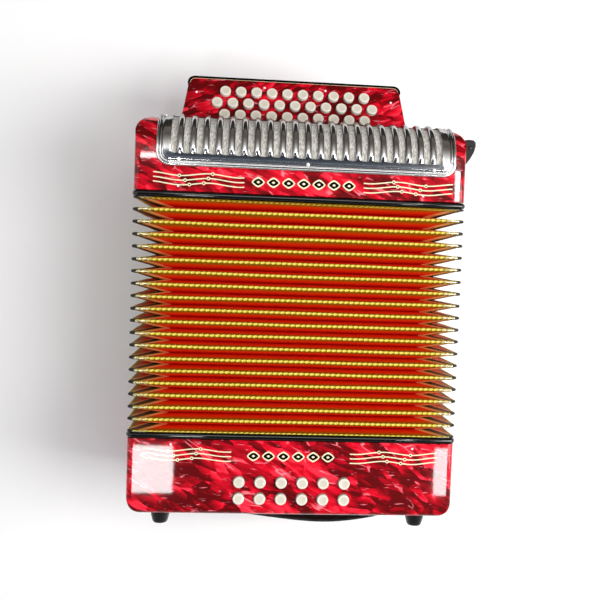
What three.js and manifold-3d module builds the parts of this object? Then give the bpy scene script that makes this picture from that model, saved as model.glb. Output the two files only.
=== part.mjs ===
// A three-row button accordion lying on its back with its bellows drawn out.
// Millimetres. X runs along the long side of the casings, Y along the bellows from the bass end
// to the treble end, and Z up from the back of the instrument to its grille side.
// The origin is under the middle of the whole instrument, on the plane that it lies on.
import * as THREE from 'three';
import { mergeVertices } from 'three/addons/utils/BufferGeometryUtils.js';
import Module from 'manifold-3d';

const wasm = await Module();
wasm.setup();

// ---- driving dimensions -------------------------------------------------------------------
const casingWidth = 312;
const casingHeight = 180;
const beadProud = 1.25;
const bassEndY = -200.5;
const bassCasingLength = 72;
const frameLength = 6;
const frameRim = 26;
const frameOpeningCut = 1.5;
const bellowsLength = 220;
const trebleCasingLength = 72.5;
const wall = 4;
const cornerRadius = 18;
const endEdgeRadius = 7;
const longEdgeRadius = 6;
const grilleEdgeRadius = 36;
const gap = 0.3;

const ridgeCount = 20;
const foldDepth = 24;
const foldCard = 1.2;
const ridgeInset = 0.5;
const ridgeCut = 5;
const valleyCut = 8;

const grilleCentreX = 4.6;
const grilleHalfWidth = 141;
const grilleLowerY = 126;
const grilleRearZ = 139;
const grilleRise = 4;
const grilleSheet = 1.3;
const grilleSlots = 22;
const grilleSlotPitch = 11.85;
const grilleSlotWidth = 6.6;
const grilleCorner = 13;
const grilleFlange = 2;
const grilleLedge = 7;
const slotStart = 11;

const boardTilt = THREE.MathUtils.degToRad(22);
const boardCentreX = -5.7;
const boardMiddleRowY = 197.6;
const boardMiddleRowZ = 119.4;
const boardTop = 29.6;
const boardBottom = -29.5;
const boardThickness = 24;
const boardWall = 3;
const boardHead = 107.5;
const boardWaist = 111.5;
const boardFoot = 118;
const boardCorner = 7;
const boardHeadTaper = 0.5;
const boardShoulder = { low: -24, bend: -18, high: -8, flare: 1 };

const keyPitch = 15.6;
const keyRowPitch = 13.4;
const keyRadius = 5.3;
const keyEdge = 0.8;
const keyHoleRadius = 6.3;
const keyProud = 3.2;
const keySkirt = 4;
const stemTop = -3;
const leverWidth = 1.8;
const leverHeight = 4;
const leverDepth = 9;
const armRise = 13;
const armHeight = 3.5;
const armHalfDepth = 1.6;
const pivotAlong = -37;
const pivotDepth = 1.5;
const axleRadius = 1.5;
const axleHalfLength = 100;
const axlePostWidth = 5;
const soundboardTop = 141;
const soundboardThickness = 4;
const palletThickness = 4;
const palletWidth = 12;
const palletLength = 8.5;
const toneHoleWidth = 8;
const toneHoleLength = 6;
const boardFit = 0.5;

const bassColumns = 6;
const bassKeyPitch = 20;
const bassRowY = [-167.8, -183.6];
const bassKeyRadius = 5.3;
const bassKeyProud = 4.2;
const bassStemRadius = 2;
const bassStemLength = 20;
const bassCollar = 1.6;
const bassSoundboardInset = 20;
const combHalfWidth = 62;
const combDepth = 22;
const combThickness = 4;
const guideClearance = 0.6;
const guideHalfHeight = 9;

const reedBaseMargin = 32;
const reedRowMargin = 50;
const reedRowHalfDepth = 9;
const reedRowInset = 6;
const reedReach = 30;
const bassReedHalfLength = 118;
const bassReedBase = 7;
const trebleReedHalfLength = 120;
const trebleReedBase = 20;

const footLength = 14;
const footBaseRadius = 9.2;
const footBaseHeight = 2.5;
const footTipRadius = 6.6;
const footTipEdge = 0.8;
const footSpacingX = 250;
const footInset = 23;
const strapBow = 27;
const strapThickness = 3;
const strapWidth = 54;
const strapMiddleZ = 92;
const strapSteps = 26;
const airButton = {
  x: 88, z: 148, radius: 8, proud: 7, edge: 0.6, capHeight: 1.8, neckRadius: 4.4, neckDepth: 3,
  stemRadius: 2, stemDepth: 16, holeRadius: 5,
};

// ---- places worked out from them ----------------------------------------------------------
const halfWidth = casingWidth / 2;
const backZ = beadProud;
const frontZ = backZ + casingHeight;
const middleZ = (backZ + frontZ) / 2;
const bassInnerY = bassEndY + bassCasingLength;
const bellowsStartY = bassInnerY + frameLength;
const bellowsEndY = bellowsStartY + bellowsLength;
const trebleInnerY = bellowsEndY + frameLength;
const trebleEndY = trebleInnerY + trebleCasingLength;

// ---- materials ----------------------------------------------------------------------------
const finish = (color, roughness, metalness) => () =>
  new THREE.MeshStandardMaterial({ color, roughness, metalness });
const pearloid = finish(0xb80a22, 0.18, 0);
const chrome = finish(0xd6d8dc, 0.15, 1);
const blackTrim = finish(0x141414, 0.35, 0);
const cream = finish(0xf1ecdc, 0.3, 0);
const bellowsCard = finish(0xc8421a, 0.7, 0);
const wood = finish(0xb98a5a, 0.6, 0);
const steel = finish(0xa7abb0, 0.35, 1);
const leather = finish(0x1b1917, 0.6, 0);
const rubber = finish(0x161616, 0.8, 0);

// ---- solid helpers ------------------------------------------------------------------------
function toSolid(geometry) {
  const bare = geometry.clone();
  bare.deleteAttribute('normal');
  bare.deleteAttribute('uv');
  const merged = mergeVertices(bare, 1e-4);
  return new wasm.Manifold(new wasm.Mesh({
    numProp: 3,
    vertProperties: new Float32Array(merged.attributes.position.array),
    triVerts: new Uint32Array(merged.index.array),
  }));
}

function toGeometry(solid) {
  const { vertProperties, triVerts } = solid.getMesh();
  const geometry = new THREE.BufferGeometry();
  geometry.setAttribute('position', new THREE.BufferAttribute(new Float32Array(vertProperties), 3));
  geometry.setIndex(new THREE.BufferAttribute(new Uint32Array(triVerts), 1));
  geometry.computeVertexNormals();
  return geometry;
}

// The plane of an outline by the axis it is extruded along: x takes (y, z), y takes (x, z)
// and z takes (x, y).
const planes = {
  x: new THREE.Matrix4().makeBasis(
    new THREE.Vector3(0, 1, 0), new THREE.Vector3(0, 0, 1), new THREE.Vector3(1, 0, 0)),
  y: new THREE.Matrix4().makeBasis(
    new THREE.Vector3(1, 0, 0), new THREE.Vector3(0, 0, 1), new THREE.Vector3(0, -1, 0)),
  z: new THREE.Matrix4(),
};

function prism(axis, shape, from, to, curveSegments = 5) {
  const geometry = new THREE.ExtrudeGeometry(shape, {
    depth: to - from,
    bevelEnabled: false,
    steps: 1,
    curveSegments,
  });
  geometry.translate(0, 0, axis === 'y' ? -to : from);
  geometry.applyMatrix4(planes[axis]);
  return toSolid(geometry);
}

// A rectangle with its own radius at each corner: low-low, high-low, high-high, low-high.
function roundedRectangle(x0, y0, x1, y1, radii) {
  const [a, b, c, d] = radii;
  const shape = new THREE.Shape();
  shape.moveTo(x0 + a, y0);
  shape.lineTo(x1 - b, y0);
  if (b > 0) shape.absarc(x1 - b, y0 + b, b, -Math.PI / 2, 0, false);
  shape.lineTo(x1, y1 - c);
  if (c > 0) shape.absarc(x1 - c, y1 - c, c, 0, Math.PI / 2, false);
  shape.lineTo(x0 + d, y1);
  if (d > 0) shape.absarc(x0 + d, y1 - d, d, Math.PI / 2, Math.PI, false);
  shape.lineTo(x0, y0 + a);
  if (a > 0) shape.absarc(x0 + a, y0 + a, a, Math.PI, Math.PI * 1.5, false);
  return shape;
}

function block(x0, x1, y0, y1, z0, z1) {
  const geometry = new THREE.BoxGeometry(x1 - x0, y1 - y0, z1 - z0);
  geometry.translate((x0 + x1) / 2, (y0 + y1) / 2, (z0 + z1) / 2);
  return toSolid(geometry);
}

// A solid of revolution about an axis through the origin, from [radius, height] points.
function turned(profile, segments, axis = 'z') {
  const points = profile.map(([radius, height]) => new THREE.Vector2(radius, height));
  const geometry = new THREE.LatheGeometry(points, segments);
  if (axis === 'z') geometry.rotateX(Math.PI / 2);
  if (axis === 'x') geometry.rotateZ(-Math.PI / 2);
  return toSolid(geometry);
}

const group = new THREE.Group();
function addPiece(name, solid, material) {
  const mesh = new THREE.Mesh(toGeometry(solid), material());
  mesh.name = name;
  group.add(mesh);
  return mesh;
}

// ---- casings ------------------------------------------------------------------------------
// A casing is the common part of three rounded outlines, seen from the front, the end and the
// side. It is hollow and open towards the bellows.
function casingBody(innerY, endY, inset, edgeRadius) {
  const low = Math.min(innerY, endY);
  const high = Math.max(innerY, endY);
  const towardsTreble = endY > innerY;
  const r = cornerRadius - inset;
  const e = longEdgeRadius - inset;
  const end = endEdgeRadius - inset;
  const front = edgeRadius - inset;
  const x = halfWidth - inset;
  const endCorners = towardsTreble ? [0, 0, r, r] : [r, r, 0, 0];
  const sideCorners = towardsTreble ? [0, end, front, 0] : [end, 0, 0, front];
  const back = backZ + inset;
  const face = frontZ - inset;
  return prism('z', roundedRectangle(-x, low, x, high, endCorners), back, face)
    .intersect(prism('x', roundedRectangle(low, back, high, face, sideCorners), -x, x, 8))
    .intersect(prism('y', roundedRectangle(-x, back, x, face, [e, e, e, e]), low, high, 3));
}

function trebleCasing() {
  const cavity = casingBody(trebleInnerY - 1, trebleEndY - wall, wall, grilleEdgeRadius);
  const openingHalf = grilleHalfWidth - grilleLedge;
  const grilleOpening = block(grilleCentreX - openingHalf, grilleCentreX + openingHalf,
    grilleLowerY + grilleLedge, trebleEndY + 5, grilleRearZ + 1, frontZ + 5);
  return casingBody(trebleInnerY, trebleEndY, 0, grilleEdgeRadius)
    .subtract(cavity)
    .subtract(grilleOpening)
    .subtract(boardSpace(gap));
}

function bassCasing() {
  let casing = casingBody(bassInnerY, bassEndY, 0, endEdgeRadius)
    .subtract(casingBody(bassInnerY + 1, bassEndY + wall, wall, endEdgeRadius));
  const hole = turned([[0, -20], [keyHoleRadius, -20], [keyHoleRadius, 20], [0, 20]], 8);
  for (const y of bassRowY) {
    for (let column = 0; column < bassColumns; column += 1) {
      const x = (column - (bassColumns - 1) / 2) * bassKeyPitch;
      casing = casing.subtract(hole.translate([x, y, frontZ]));
    }
  }
  const airHole = turned([[0, -8], [airButton.holeRadius, -8], [airButton.holeRadius, 8], [0, 8]], 16, 'y');
  return casing.subtract(airHole.translate([airButton.x, bassEndY, airButton.z]));
}

// A bellows frame: the black bead that shows between a casing and the folds.
function bellowsFrame(fromY, toY) {
  const x = halfWidth + beadProud;
  const r = longEdgeRadius + beadProud;
  const cut = frameOpeningCut;
  const outer = prism('y', roundedRectangle(-x, 0, x, frontZ + beadProud, [r, r, r, r]), fromY, toY, 3);
  const opening = prism('y', roundedRectangle(-x + frameRim, frameRim, x - frameRim,
    frontZ + beadProud - frameRim, [cut, cut, cut, cut]), fromY - 1, toY + 1, 1);
  return outer.subtract(opening);
}

// ---- bellows ------------------------------------------------------------------------------
// One ring of card, folded in a zigzag that starts and ends with a ridge glued to its frame.
// Every ring of points is a rectangle with cut corners, small ones on a ridge and wider ones in
// a valley, where the corner gussets fold in.
function bellowsRing(depth, cut, y) {
  const x = halfWidth - ridgeInset - depth;
  const low = backZ + ridgeInset + depth;
  const high = frontZ - ridgeInset - depth;
  return [
    [-x + cut, low], [x - cut, low], [x, low + cut], [x, high - cut],
    [x - cut, high], [-x + cut, high], [-x, high - cut], [-x, low + cut],
  ].map(([px, pz]) => [px, y, pz]);
}

function bellowsBody() {
  const start = bellowsStartY + gap;
  const halfPitch = (bellowsLength - 2 * gap) / (2 * ridgeCount - 2);
  const rings = [];
  for (let ring = 0; ring < 2 * ridgeCount - 1; ring += 1) {
    const y = start + ring * halfPitch;
    rings.push(ring % 2 === 0 ? { depth: 0, cut: ridgeCut, y } : { depth: foldDepth, cut: valleyCut, y });
  }
  const outer = rings.map((ring) => bellowsRing(ring.depth, ring.cut, ring.y));
  const inner = rings.map((ring) => bellowsRing(ring.depth + foldCard * 2, ring.cut, ring.y));
  const loops = [...outer, ...inner.reverse()];
  const sides = outer[0].length;
  const positions = loops.flat(2);
  const index = [];
  for (let ring = 0; ring < loops.length; ring += 1) {
    const next = (ring + 1) % loops.length;
    for (let side = 0; side < sides; side += 1) {
      const a = ring * sides + side;
      const b = ring * sides + (side + 1) % sides;
      const c = next * sides + (side + 1) % sides;
      const d = next * sides + side;
      index.push(a, d, c, a, c, b);
    }
  }
  const geometry = new THREE.BufferGeometry();
  geometry.setAttribute('position', new THREE.Float32BufferAttribute(positions, 3));
  geometry.setIndex(index);
  return toSolid(geometry);
}

// ---- grille -------------------------------------------------------------------------------
// The casing's outline at its rounded edge, moved out by an offset and filled down to the inside.
function edgeRegion(offset) {
  const centreY = trebleEndY - grilleEdgeRadius;
  const centreZ = frontZ - grilleEdgeRadius;
  const radius = grilleEdgeRadius + offset;
  const shape = new THREE.Shape();
  shape.moveTo(trebleInnerY, grilleRearZ - 30);
  shape.lineTo(trebleEndY + offset, grilleRearZ - 30);
  shape.lineTo(trebleEndY + offset, centreZ);
  shape.absarc(centreY, centreZ, radius, 0, Math.PI / 2, false);
  shape.lineTo(trebleInnerY, frontZ + offset);
  shape.closePath();
  return shape;
}

function grille() {
  const x = grilleHalfWidth;
  const far = trebleEndY + 20;
  const r = grilleCorner;
  const shell = (offset, half) => prism('x', edgeRegion(offset), -half, half, 6);
  const outline = prism('z', roundedRectangle(-x, grilleLowerY, x, far, [r, r, 0, 0]),
    grilleRearZ, frontZ + 20);
  let body = shell(grilleRise, x).intersect(outline).subtract(shell(gap, x + 1));
  const inner = r - grilleFlange;
  const insideOutline = prism('z', roundedRectangle(-x + grilleFlange, grilleLowerY + grilleFlange,
    x - grilleFlange, far, [inner, inner, 0, 0]), grilleRearZ + grilleFlange, frontZ + 20);
  body = body.subtract(shell(grilleRise - grilleSheet, x).intersect(insideOutline));
  const half = grilleSlotWidth / 2;
  for (let slot = 0; slot < grilleSlots; slot += 1) {
    const middle = (slot - (grilleSlots - 1) / 2) * grilleSlotPitch;
    body = body.subtract(block(middle - half, middle + half,
      grilleLowerY + slotStart, far, grilleRearZ + 5, frontZ + 20));
  }
  return body.translate([grilleCentreX, 0, 0]);
}

// ---- fingerboard --------------------------------------------------------------------------
// Points of the tilted board are (x, along, out): along runs up the board from its middle row
// of keys, and out leaves its playing face at a right angle.
const boardMatrix = new THREE.Matrix4()
  .makeTranslation(boardCentreX, boardMiddleRowY, boardMiddleRowZ)
  .multiply(new THREE.Matrix4().makeRotationX(-boardTilt));

function boardPoint(along, out) {
  return new THREE.Vector3(0, along, out).applyMatrix4(boardMatrix);
}

function placeOnBoard(solid) {
  const geometry = toGeometry(solid);
  geometry.applyMatrix4(boardMatrix);
  return toSolid(geometry);
}

// The board narrows from a wide foot inside the casing to its head, which has rounded corners.
function boardOutline(inset, bottom) {
  const top = boardTop - inset;
  const corner = boardCorner - inset;
  const foot = boardFoot - inset;
  const waist = boardWaist - inset;
  const head = boardHead - inset;
  const tip = head - boardHeadTaper;
  const shape = new THREE.Shape();
  shape.moveTo(-foot, bottom);
  shape.lineTo(foot, bottom);
  shape.lineTo(foot, boardShoulder.low);
  shape.quadraticCurveTo(waist + boardShoulder.flare, boardShoulder.bend, waist, boardShoulder.high);
  shape.lineTo(head, top - corner);
  shape.quadraticCurveTo(tip, top, tip - corner, top);
  shape.lineTo(corner - tip, top);
  shape.quadraticCurveTo(-tip, top, -head, top - corner);
  shape.lineTo(-waist, boardShoulder.high);
  shape.quadraticCurveTo(-waist - boardShoulder.flare, boardShoulder.bend, -foot, boardShoulder.low);
  shape.closePath();
  return shape;
}

function boardSpace(clearance) {
  return placeOnBoard(prism('z', boardOutline(-clearance, boardBottom - 40),
    -boardThickness - clearance, clearance, 4));
}

const keyRows = [
  { row: 1, count: 10, along: keyRowPitch, lane: -3, palletZ: 171 },
  { row: 2, count: 11, along: 0, lane: 0, palletZ: 159 },
  { row: 3, count: 10, along: -keyRowPitch, lane: 3, palletZ: 147 },
];
const keyX = (row, index) => (index - (row.count - 1) / 2) * keyPitch;

function fingerboard() {
  const hollow = prism('z', boardOutline(boardWall, boardBottom - 1), boardWall - boardThickness,
    -boardWall, 4);
  let board = prism('z', boardOutline(0, boardBottom), -boardThickness, 0, 4).subtract(hollow);
  const hole = turned([[0, -9], [keyHoleRadius, -9], [keyHoleRadius, 5], [0, 5]], 8);
  for (const row of keyRows) {
    for (let index = 0; index < row.count; index += 1) {
      board = board.subtract(hole.translate([keyX(row, index), row.along, 0]));
    }
  }
  return placeOnBoard(board);
}

// ---- treble keys --------------------------------------------------------------------------
// One key is a rigid bell crank: a button, a lever down the inside of the fingerboard to the
// common axle, and an arm from there to the pallet that covers its tone hole.
const pivot = boardPoint(pivotAlong, -pivotDepth);

function leverOutline(row) {
  const armTop = soundboardTop + armRise;
  const armBottom = armTop - armHeight;
  const palletTop = soundboardTop + gap + palletThickness - 1;
  const leverFoot = -leverDepth - leverHeight;
  const onBoard = ([along, out]) => {
    const { y, z } = boardPoint(along, out);
    return [y, z];
  };
  const corners = [
    ...[
      [row.along + 1.5, stemTop], [row.along - 2.5, stemTop], [row.along - 2.5, -leverDepth],
      [pivotAlong + 5.5, -leverDepth], [pivotAlong + 4, stemTop],
    ].map(onBoard),
    [pivot.y + 3.2, pivot.z + 2.6], [pivot.y - 0.5, pivot.z + 4.2],
    [armTop, row.palletZ + armHalfDepth], [palletTop, row.palletZ + armHalfDepth],
    [palletTop, row.palletZ - armHalfDepth], [armBottom, row.palletZ - armHalfDepth],
    [pivot.y - 4.2, pivot.z],
    ...[[pivotAlong, -8], [pivotAlong + 3, leverFoot], [row.along + 1.5, leverFoot]].map(onBoard),
  ];
  const shape = new THREE.Shape(corners.map(([y, z]) => new THREE.Vector2(y, z)));
  const bore = new THREE.Path();
  bore.absarc(pivot.y, pivot.z, axleRadius + 0.5, 0, Math.PI * 2, true);
  shape.holes.push(bore);
  return shape;
}

function trebleKey(row, index) {
  const x = boardCentreX + keyX(row, index);
  const laneX = x + row.lane;
  const lever = prism('x', leverOutline(row), laneX - leverWidth / 2, laneX + leverWidth / 2, 6);
  const button = turned([
    [0, -keySkirt], [keyRadius, -keySkirt], [keyRadius, keyProud - keyEdge],
    [keyRadius - keyEdge, keyProud], [0, keyProud],
  ], 10).translate([keyX(row, index), row.along, 0]);
  const pallet = block(x - palletWidth / 2, x + palletWidth / 2, soundboardTop + gap,
    soundboardTop + gap + palletThickness, row.palletZ - palletLength / 2, row.palletZ + palletLength / 2);
  return placeOnBoard(button).add(lever).add(pallet);
}

// ---- treble action ------------------------------------------------------------------------
function trebleAxle() {
  const profile = [[0, -axleHalfLength], [axleRadius, -axleHalfLength], [axleRadius, axleHalfLength],
    [0, axleHalfLength]];
  return turned(profile, 8, 'x').translate([boardCentreX, pivot.y, pivot.z]);
}

// A plate that fills a casing's cavity from wall to wall.
function soundboardPlate(fromY, toY) {
  const x = halfWidth - wall - boardFit;
  const low = backZ + wall + boardFit;
  const high = frontZ - wall - boardFit;
  return prism('y', roundedRectangle(-x, low, x, high, [3, 3, 3, 3]), fromY, toY, 1);
}

// The soundboard: a plate across the casing with a tone hole under each pallet and two posts
// that carry the axle beyond its end keys.
function trebleActionBoard() {
  let board = soundboardPlate(soundboardTop - soundboardThickness, soundboardTop);
  const halfHole = toneHoleWidth / 2;
  for (const row of keyRows) {
    for (let index = 0; index < row.count; index += 1) {
      const keyCentre = boardCentreX + keyX(row, index);
      board = board.subtract(block(keyCentre - halfHole, keyCentre + halfHole, soundboardTop - 10,
        soundboardTop + 1, row.palletZ - toneHoleLength / 2, row.palletZ + toneHoleLength / 2));
    }
  }
  const postOutline = new THREE.Shape();
  postOutline.moveTo(soundboardTop - 1, pivot.z - 8);
  postOutline.lineTo(pivot.y + 4, pivot.z - 4);
  postOutline.lineTo(pivot.y + 4, pivot.z + 4);
  postOutline.lineTo(soundboardTop - 1, pivot.z + 8);
  postOutline.closePath();
  const bore = new THREE.Path();
  bore.absarc(pivot.y, pivot.z, axleRadius + gap + 0.2, 0, Math.PI * 2, true);
  postOutline.holes.push(bore);
  for (const side of [-1, 1]) {
    const centre = boardCentreX + side * (axleHalfLength - axlePostWidth);
    board = board.add(prism('x', postOutline, centre - axlePostWidth / 2, centre + axlePostWidth / 2, 8));
  }
  return board;
}

// Reed blocks hang from a soundboard into the bellows: a common base and three ridges.
function reedBlock(fromY, toY, baseY, halfLength) {
  const low = Math.min(fromY, toY);
  const high = Math.max(fromY, toY);
  const baseLow = Math.min(fromY, baseY);
  const baseHigh = Math.max(fromY, baseY);
  const reach = halfLength - reedRowInset;
  let body = block(-halfLength, halfLength, baseLow, baseHigh, reedBaseMargin, frontZ - reedBaseMargin);
  for (const z of [reedRowMargin, middleZ, frontZ - reedRowMargin]) {
    body = body.add(block(-reach, reach, low, high, z - reedRowHalfDepth, z + reedRowHalfDepth));
  }
  return body;
}

// ---- bass end -----------------------------------------------------------------------------
function bassKey(row, column) {
  const x = (column - (bassColumns - 1) / 2) * bassKeyPitch;
  const top = frontZ + bassKeyProud;
  const collar = frontZ - wall - gap;
  return turned([
    [0, top], [bassKeyRadius, top], [bassKeyRadius, collar],
    [bassKeyRadius + bassCollar, collar], [bassKeyRadius + bassCollar, collar - bassCollar],
    [bassStemRadius, collar - bassCollar], [bassStemRadius, collar - bassStemLength],
    [0, collar - bassStemLength],
  ].reverse(), 10).translate([x, bassRowY[row], 0]);
}

// The bass soundboard, with its reed block and the guide comb for the key stems in one piece.
function bassActionBoard() {
  const boardY = bassInnerY - bassSoundboardInset;
  const combZ = frontZ - combDepth;
  const plate = soundboardPlate(boardY, boardY + soundboardThickness);
  let comb = block(-combHalfWidth, combHalfWidth, bassEndY + wall + 2, boardY + 1,
    combZ - combThickness / 2, combZ + combThickness / 2);
  const guideRadius = bassStemRadius + guideClearance;
  const guide = turned([
    [0, -guideHalfHeight], [guideRadius, -guideHalfHeight], [guideRadius, guideHalfHeight], [0, guideHalfHeight],
  ], 8);
  for (const y of bassRowY) {
    for (let column = 0; column < bassColumns; column += 1) {
      comb = comb.subtract(guide.translate([(column - (bassColumns - 1) / 2) * bassKeyPitch, y, combZ]));
    }
  }
  const rootY = boardY + soundboardThickness - 1;
  return plate.add(comb).add(reedBlock(rootY, bassInnerY + reedReach, rootY + bassReedBase,
    bassReedHalfLength));
}

// The air button: a cap on a neck that slides through the casing's end, with a stem behind it.
function airKey() {
  const { x, z, radius, proud, edge, capHeight, neckRadius, neckDepth, stemRadius, stemDepth } = airButton;
  const capBase = proud - capHeight;
  return turned([
    [0, -stemDepth], [stemRadius, -stemDepth], [stemRadius, -neckDepth], [neckRadius, -neckDepth],
    [neckRadius, capBase], [radius, capBase], [radius, proud - edge], [radius - edge, proud], [0, proud],
  ], 12, 'y').rotate([0, 0, 180]).translate([x, bassEndY, z]);
}

function foot(x, z) {
  return turned([
    [0, gap], [footBaseRadius, gap], [footBaseRadius, footBaseHeight],
    [footTipRadius, footLength - footTipEdge], [footTipRadius - footTipEdge, footLength], [0, footLength],
  ], 12, 'y').rotate([0, 0, 180]).translate([x, bassEndY, z]);
}

// The leather hand strap bows away from the bass end and lies flat on it at both ends. Its side
// outline follows the middle of the leather, half a thickness out on each side.
function handStrap() {
  const middleY = bassEndY - gap - strapThickness / 2;
  const route = new THREE.CatmullRomCurve3([
    [-137, 0], [-124, 0], [-96, 6], [-40, strapBow - 10.5], [38, strapBow - strapThickness],
    [98, strapBow - 10.5], [119, 6], [131, 0], [137, 0],
  ].map(([x, out]) => new THREE.Vector3(x, middleY - out, 0)), false, 'centripetal');
  const upper = [];
  const lower = [];
  for (let step = 0; step <= strapSteps; step += 1) {
    const point = route.getPointAt(step / strapSteps);
    const tangent = route.getTangentAt(step / strapSteps);
    const across = new THREE.Vector3(-tangent.y, tangent.x, 0).multiplyScalar(strapThickness / 2);
    upper.push(point.clone().add(across));
    lower.unshift(point.clone().sub(across));
  }
  const outline = [...upper, ...lower].map(({ x, y }) => new THREE.Vector2(x, Math.min(y, bassEndY - gap)));
  return prism('z', new THREE.Shape(outline), strapMiddleZ - strapWidth / 2, strapMiddleZ + strapWidth / 2);
}

// ---- assembly -----------------------------------------------------------------------------
addPiece('bass_casing', bassCasing(), pearloid);
addPiece('bass_bellows_frame', bellowsFrame(bassInnerY + gap, bellowsStartY), blackTrim);
addPiece('bass_action_board', bassActionBoard(), wood);
addPiece('hand_strap', handStrap(), leather);
const footZ = { front: frontZ - footInset, back: backZ + footInset };
for (const [end, z] of Object.entries(footZ)) {
  addPiece(`foot_${end}_left`, foot(-footSpacingX / 2, z), rubber);
  addPiece(`foot_${end}_right`, foot(footSpacingX / 2, z), rubber);
}
addPiece('bellows', bellowsBody(), bellowsCard);
addPiece('treble_bellows_frame', bellowsFrame(bellowsEndY, trebleInnerY - gap), blackTrim);
addPiece('treble_casing', trebleCasing(), pearloid);
addPiece('fingerboard', fingerboard(), pearloid);
addPiece('grille', grille(), chrome);
addPiece('treble_action_board', trebleActionBoard(), wood);
addPiece('treble_key_axle', trebleAxle(), steel);
const trebleReedRootY = soundboardTop - soundboardThickness - gap;
addPiece('treble_reed_block',
  reedBlock(trebleReedRootY, bellowsEndY - reedReach, trebleInnerY + trebleReedBase, trebleReedHalfLength),
  wood);

addPiece('air_button', airKey(), chrome);
for (const [row] of bassRowY.entries()) {
  for (let column = 0; column < bassColumns; column += 1) {
    addPiece(`bass_key_${row + 1}_${column + 1}`, bassKey(row, column), cream);
  }
}
for (const row of keyRows) {
  for (let index = 0; index < row.count; index += 1) {
    addPiece(`treble_key_${row.row}_${String(index + 1).padStart(2, '0')}`, trebleKey(row, index), cream);
  }
}

export default group;
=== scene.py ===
"""A three-row button accordion lying on its back with its bellows drawn out.

Units are metres. X runs along the long side of the casings, Y along the bellows towards the treble
end, and Z up towards the grille side. Lengths in the comments are in millimetres.
"""
import math

import bmesh
import bpy
import numpy as np
from mathutils import Euler, Matrix, Vector


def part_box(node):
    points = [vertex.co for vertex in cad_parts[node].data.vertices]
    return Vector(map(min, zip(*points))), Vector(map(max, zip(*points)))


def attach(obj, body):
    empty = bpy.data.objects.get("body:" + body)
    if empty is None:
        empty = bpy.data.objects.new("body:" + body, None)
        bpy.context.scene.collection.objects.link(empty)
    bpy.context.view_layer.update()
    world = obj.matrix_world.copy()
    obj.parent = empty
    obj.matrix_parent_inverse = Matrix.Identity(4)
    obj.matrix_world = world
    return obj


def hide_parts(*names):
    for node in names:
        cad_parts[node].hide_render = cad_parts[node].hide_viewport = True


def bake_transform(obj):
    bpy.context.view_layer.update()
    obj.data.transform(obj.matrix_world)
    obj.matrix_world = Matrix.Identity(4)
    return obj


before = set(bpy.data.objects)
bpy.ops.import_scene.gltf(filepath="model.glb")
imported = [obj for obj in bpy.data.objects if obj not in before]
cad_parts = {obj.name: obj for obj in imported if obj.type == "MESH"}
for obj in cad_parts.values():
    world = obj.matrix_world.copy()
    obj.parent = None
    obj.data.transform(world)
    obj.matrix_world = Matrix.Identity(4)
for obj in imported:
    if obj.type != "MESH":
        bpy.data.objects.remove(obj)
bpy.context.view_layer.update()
MM = 0.001

# ---- places taken from the frame --------------------------------------------------------------
bass_low, bass_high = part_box("bass_casing")
treble_low, treble_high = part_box("treble_casing")
bellows_low, bellows_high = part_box("bellows")
grille_low, grille_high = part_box("grille")
strap_low, strap_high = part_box("hand_strap")
HALF_WIDTH = treble_high.x
BACK_Z = treble_low.z
FRONT_Z = treble_high.z
MIDDLE_Z = (BACK_Z + FRONT_Z) / 2
BEAD_PROUD = BACK_Z
WALL = 4 * MM
GAP = 0.3 * MM
CORNER_RADIUS = 18 * MM
END_EDGE_RADIUS = 7 * MM
LONG_EDGE_RADIUS = 6 * MM
GRILLE_EDGE_RADIUS = 36 * MM
GRILLE_CENTRE_X = (grille_low.x + grille_high.x) / 2
GRILLE_HALF_WIDTH = (grille_high.x - grille_low.x) / 2
GRILLE_EDGE = 7 * MM


def centre_of(node):
    low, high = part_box(node)
    return (low + high) / 2


# ---- node graphs ------------------------------------------------------------------------------
class Graph:
    """A node tree, with short calls to add and join nodes."""

    def __init__(self, tree):
        self.tree = tree

    def add(self, kind, **settings):
        node = self.tree.nodes.new(kind)
        for name, value in settings.items():
            setattr(node, name, value)
        return node

    def put(self, value, socket):
        """Joins a socket to an input, or sets the input to a plain number, colour or vector."""
        if isinstance(value, bpy.types.NodeSocket):
            self.tree.links.new(value, socket)
        elif socket.type == "RGBA":
            socket.default_value = (*value, 1)
        else:
            socket.default_value = value

    def feed(self, node, **inputs):
        for name, value in inputs.items():
            self.put(value, node.inputs[name.replace("_", " ")])
        return node

    def math(self, operation, a, b=None):
        node = self.add("ShaderNodeMath", operation=operation)
        self.put(a, node.inputs[0])
        if b is not None:
            self.put(b, node.inputs[1])
        return node.outputs["Value"]

    def vector(self, operation, a, b):
        node = self.add("ShaderNodeVectorMath", operation=operation)
        self.put(a, node.inputs[0])
        self.put(b, node.inputs[1])
        return node.outputs["Value" if operation == "DOT_PRODUCT" else "Vector"]

    def times(self, a, b):
        return self.math("MULTIPLY", a, b)

    def total(self, *terms):
        """The sum of (value, weight) pairs."""
        result = self.times(*terms[0])
        for term in terms[1:]:
            result = self.math("ADD", result, self.times(*term))
        return result

    def split(self, vector):
        node = self.add("ShaderNodeSeparateXYZ")
        self.put(vector, node.inputs[0])
        return node.outputs

    def ramp(self, factor, stops):
        node = self.add("ShaderNodeValToRGB")
        elements = node.color_ramp.elements
        while len(elements) < len(stops):
            elements.new(0.5)
        for element, (position, colour) in zip(elements, stops):
            element.position = position
            element.color = (*colour, 1)
        self.put(factor, node.inputs["Fac"])
        return node.outputs["Color"]

    def mask(self, factor, start, end):
        """Black up to one value and white from another."""
        return self.ramp(factor, [(start, (0, 0, 0)), (end, (1, 1, 1))])

    def mix(self, factor, a, b, blend="MIX"):
        node = self.add("ShaderNodeMix", data_type="RGBA", blend_type=blend)
        for value, socket in ((factor, 0), (a, 6), (b, 7)):
            self.put(value, node.inputs[socket])
        return node.outputs[2]


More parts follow.
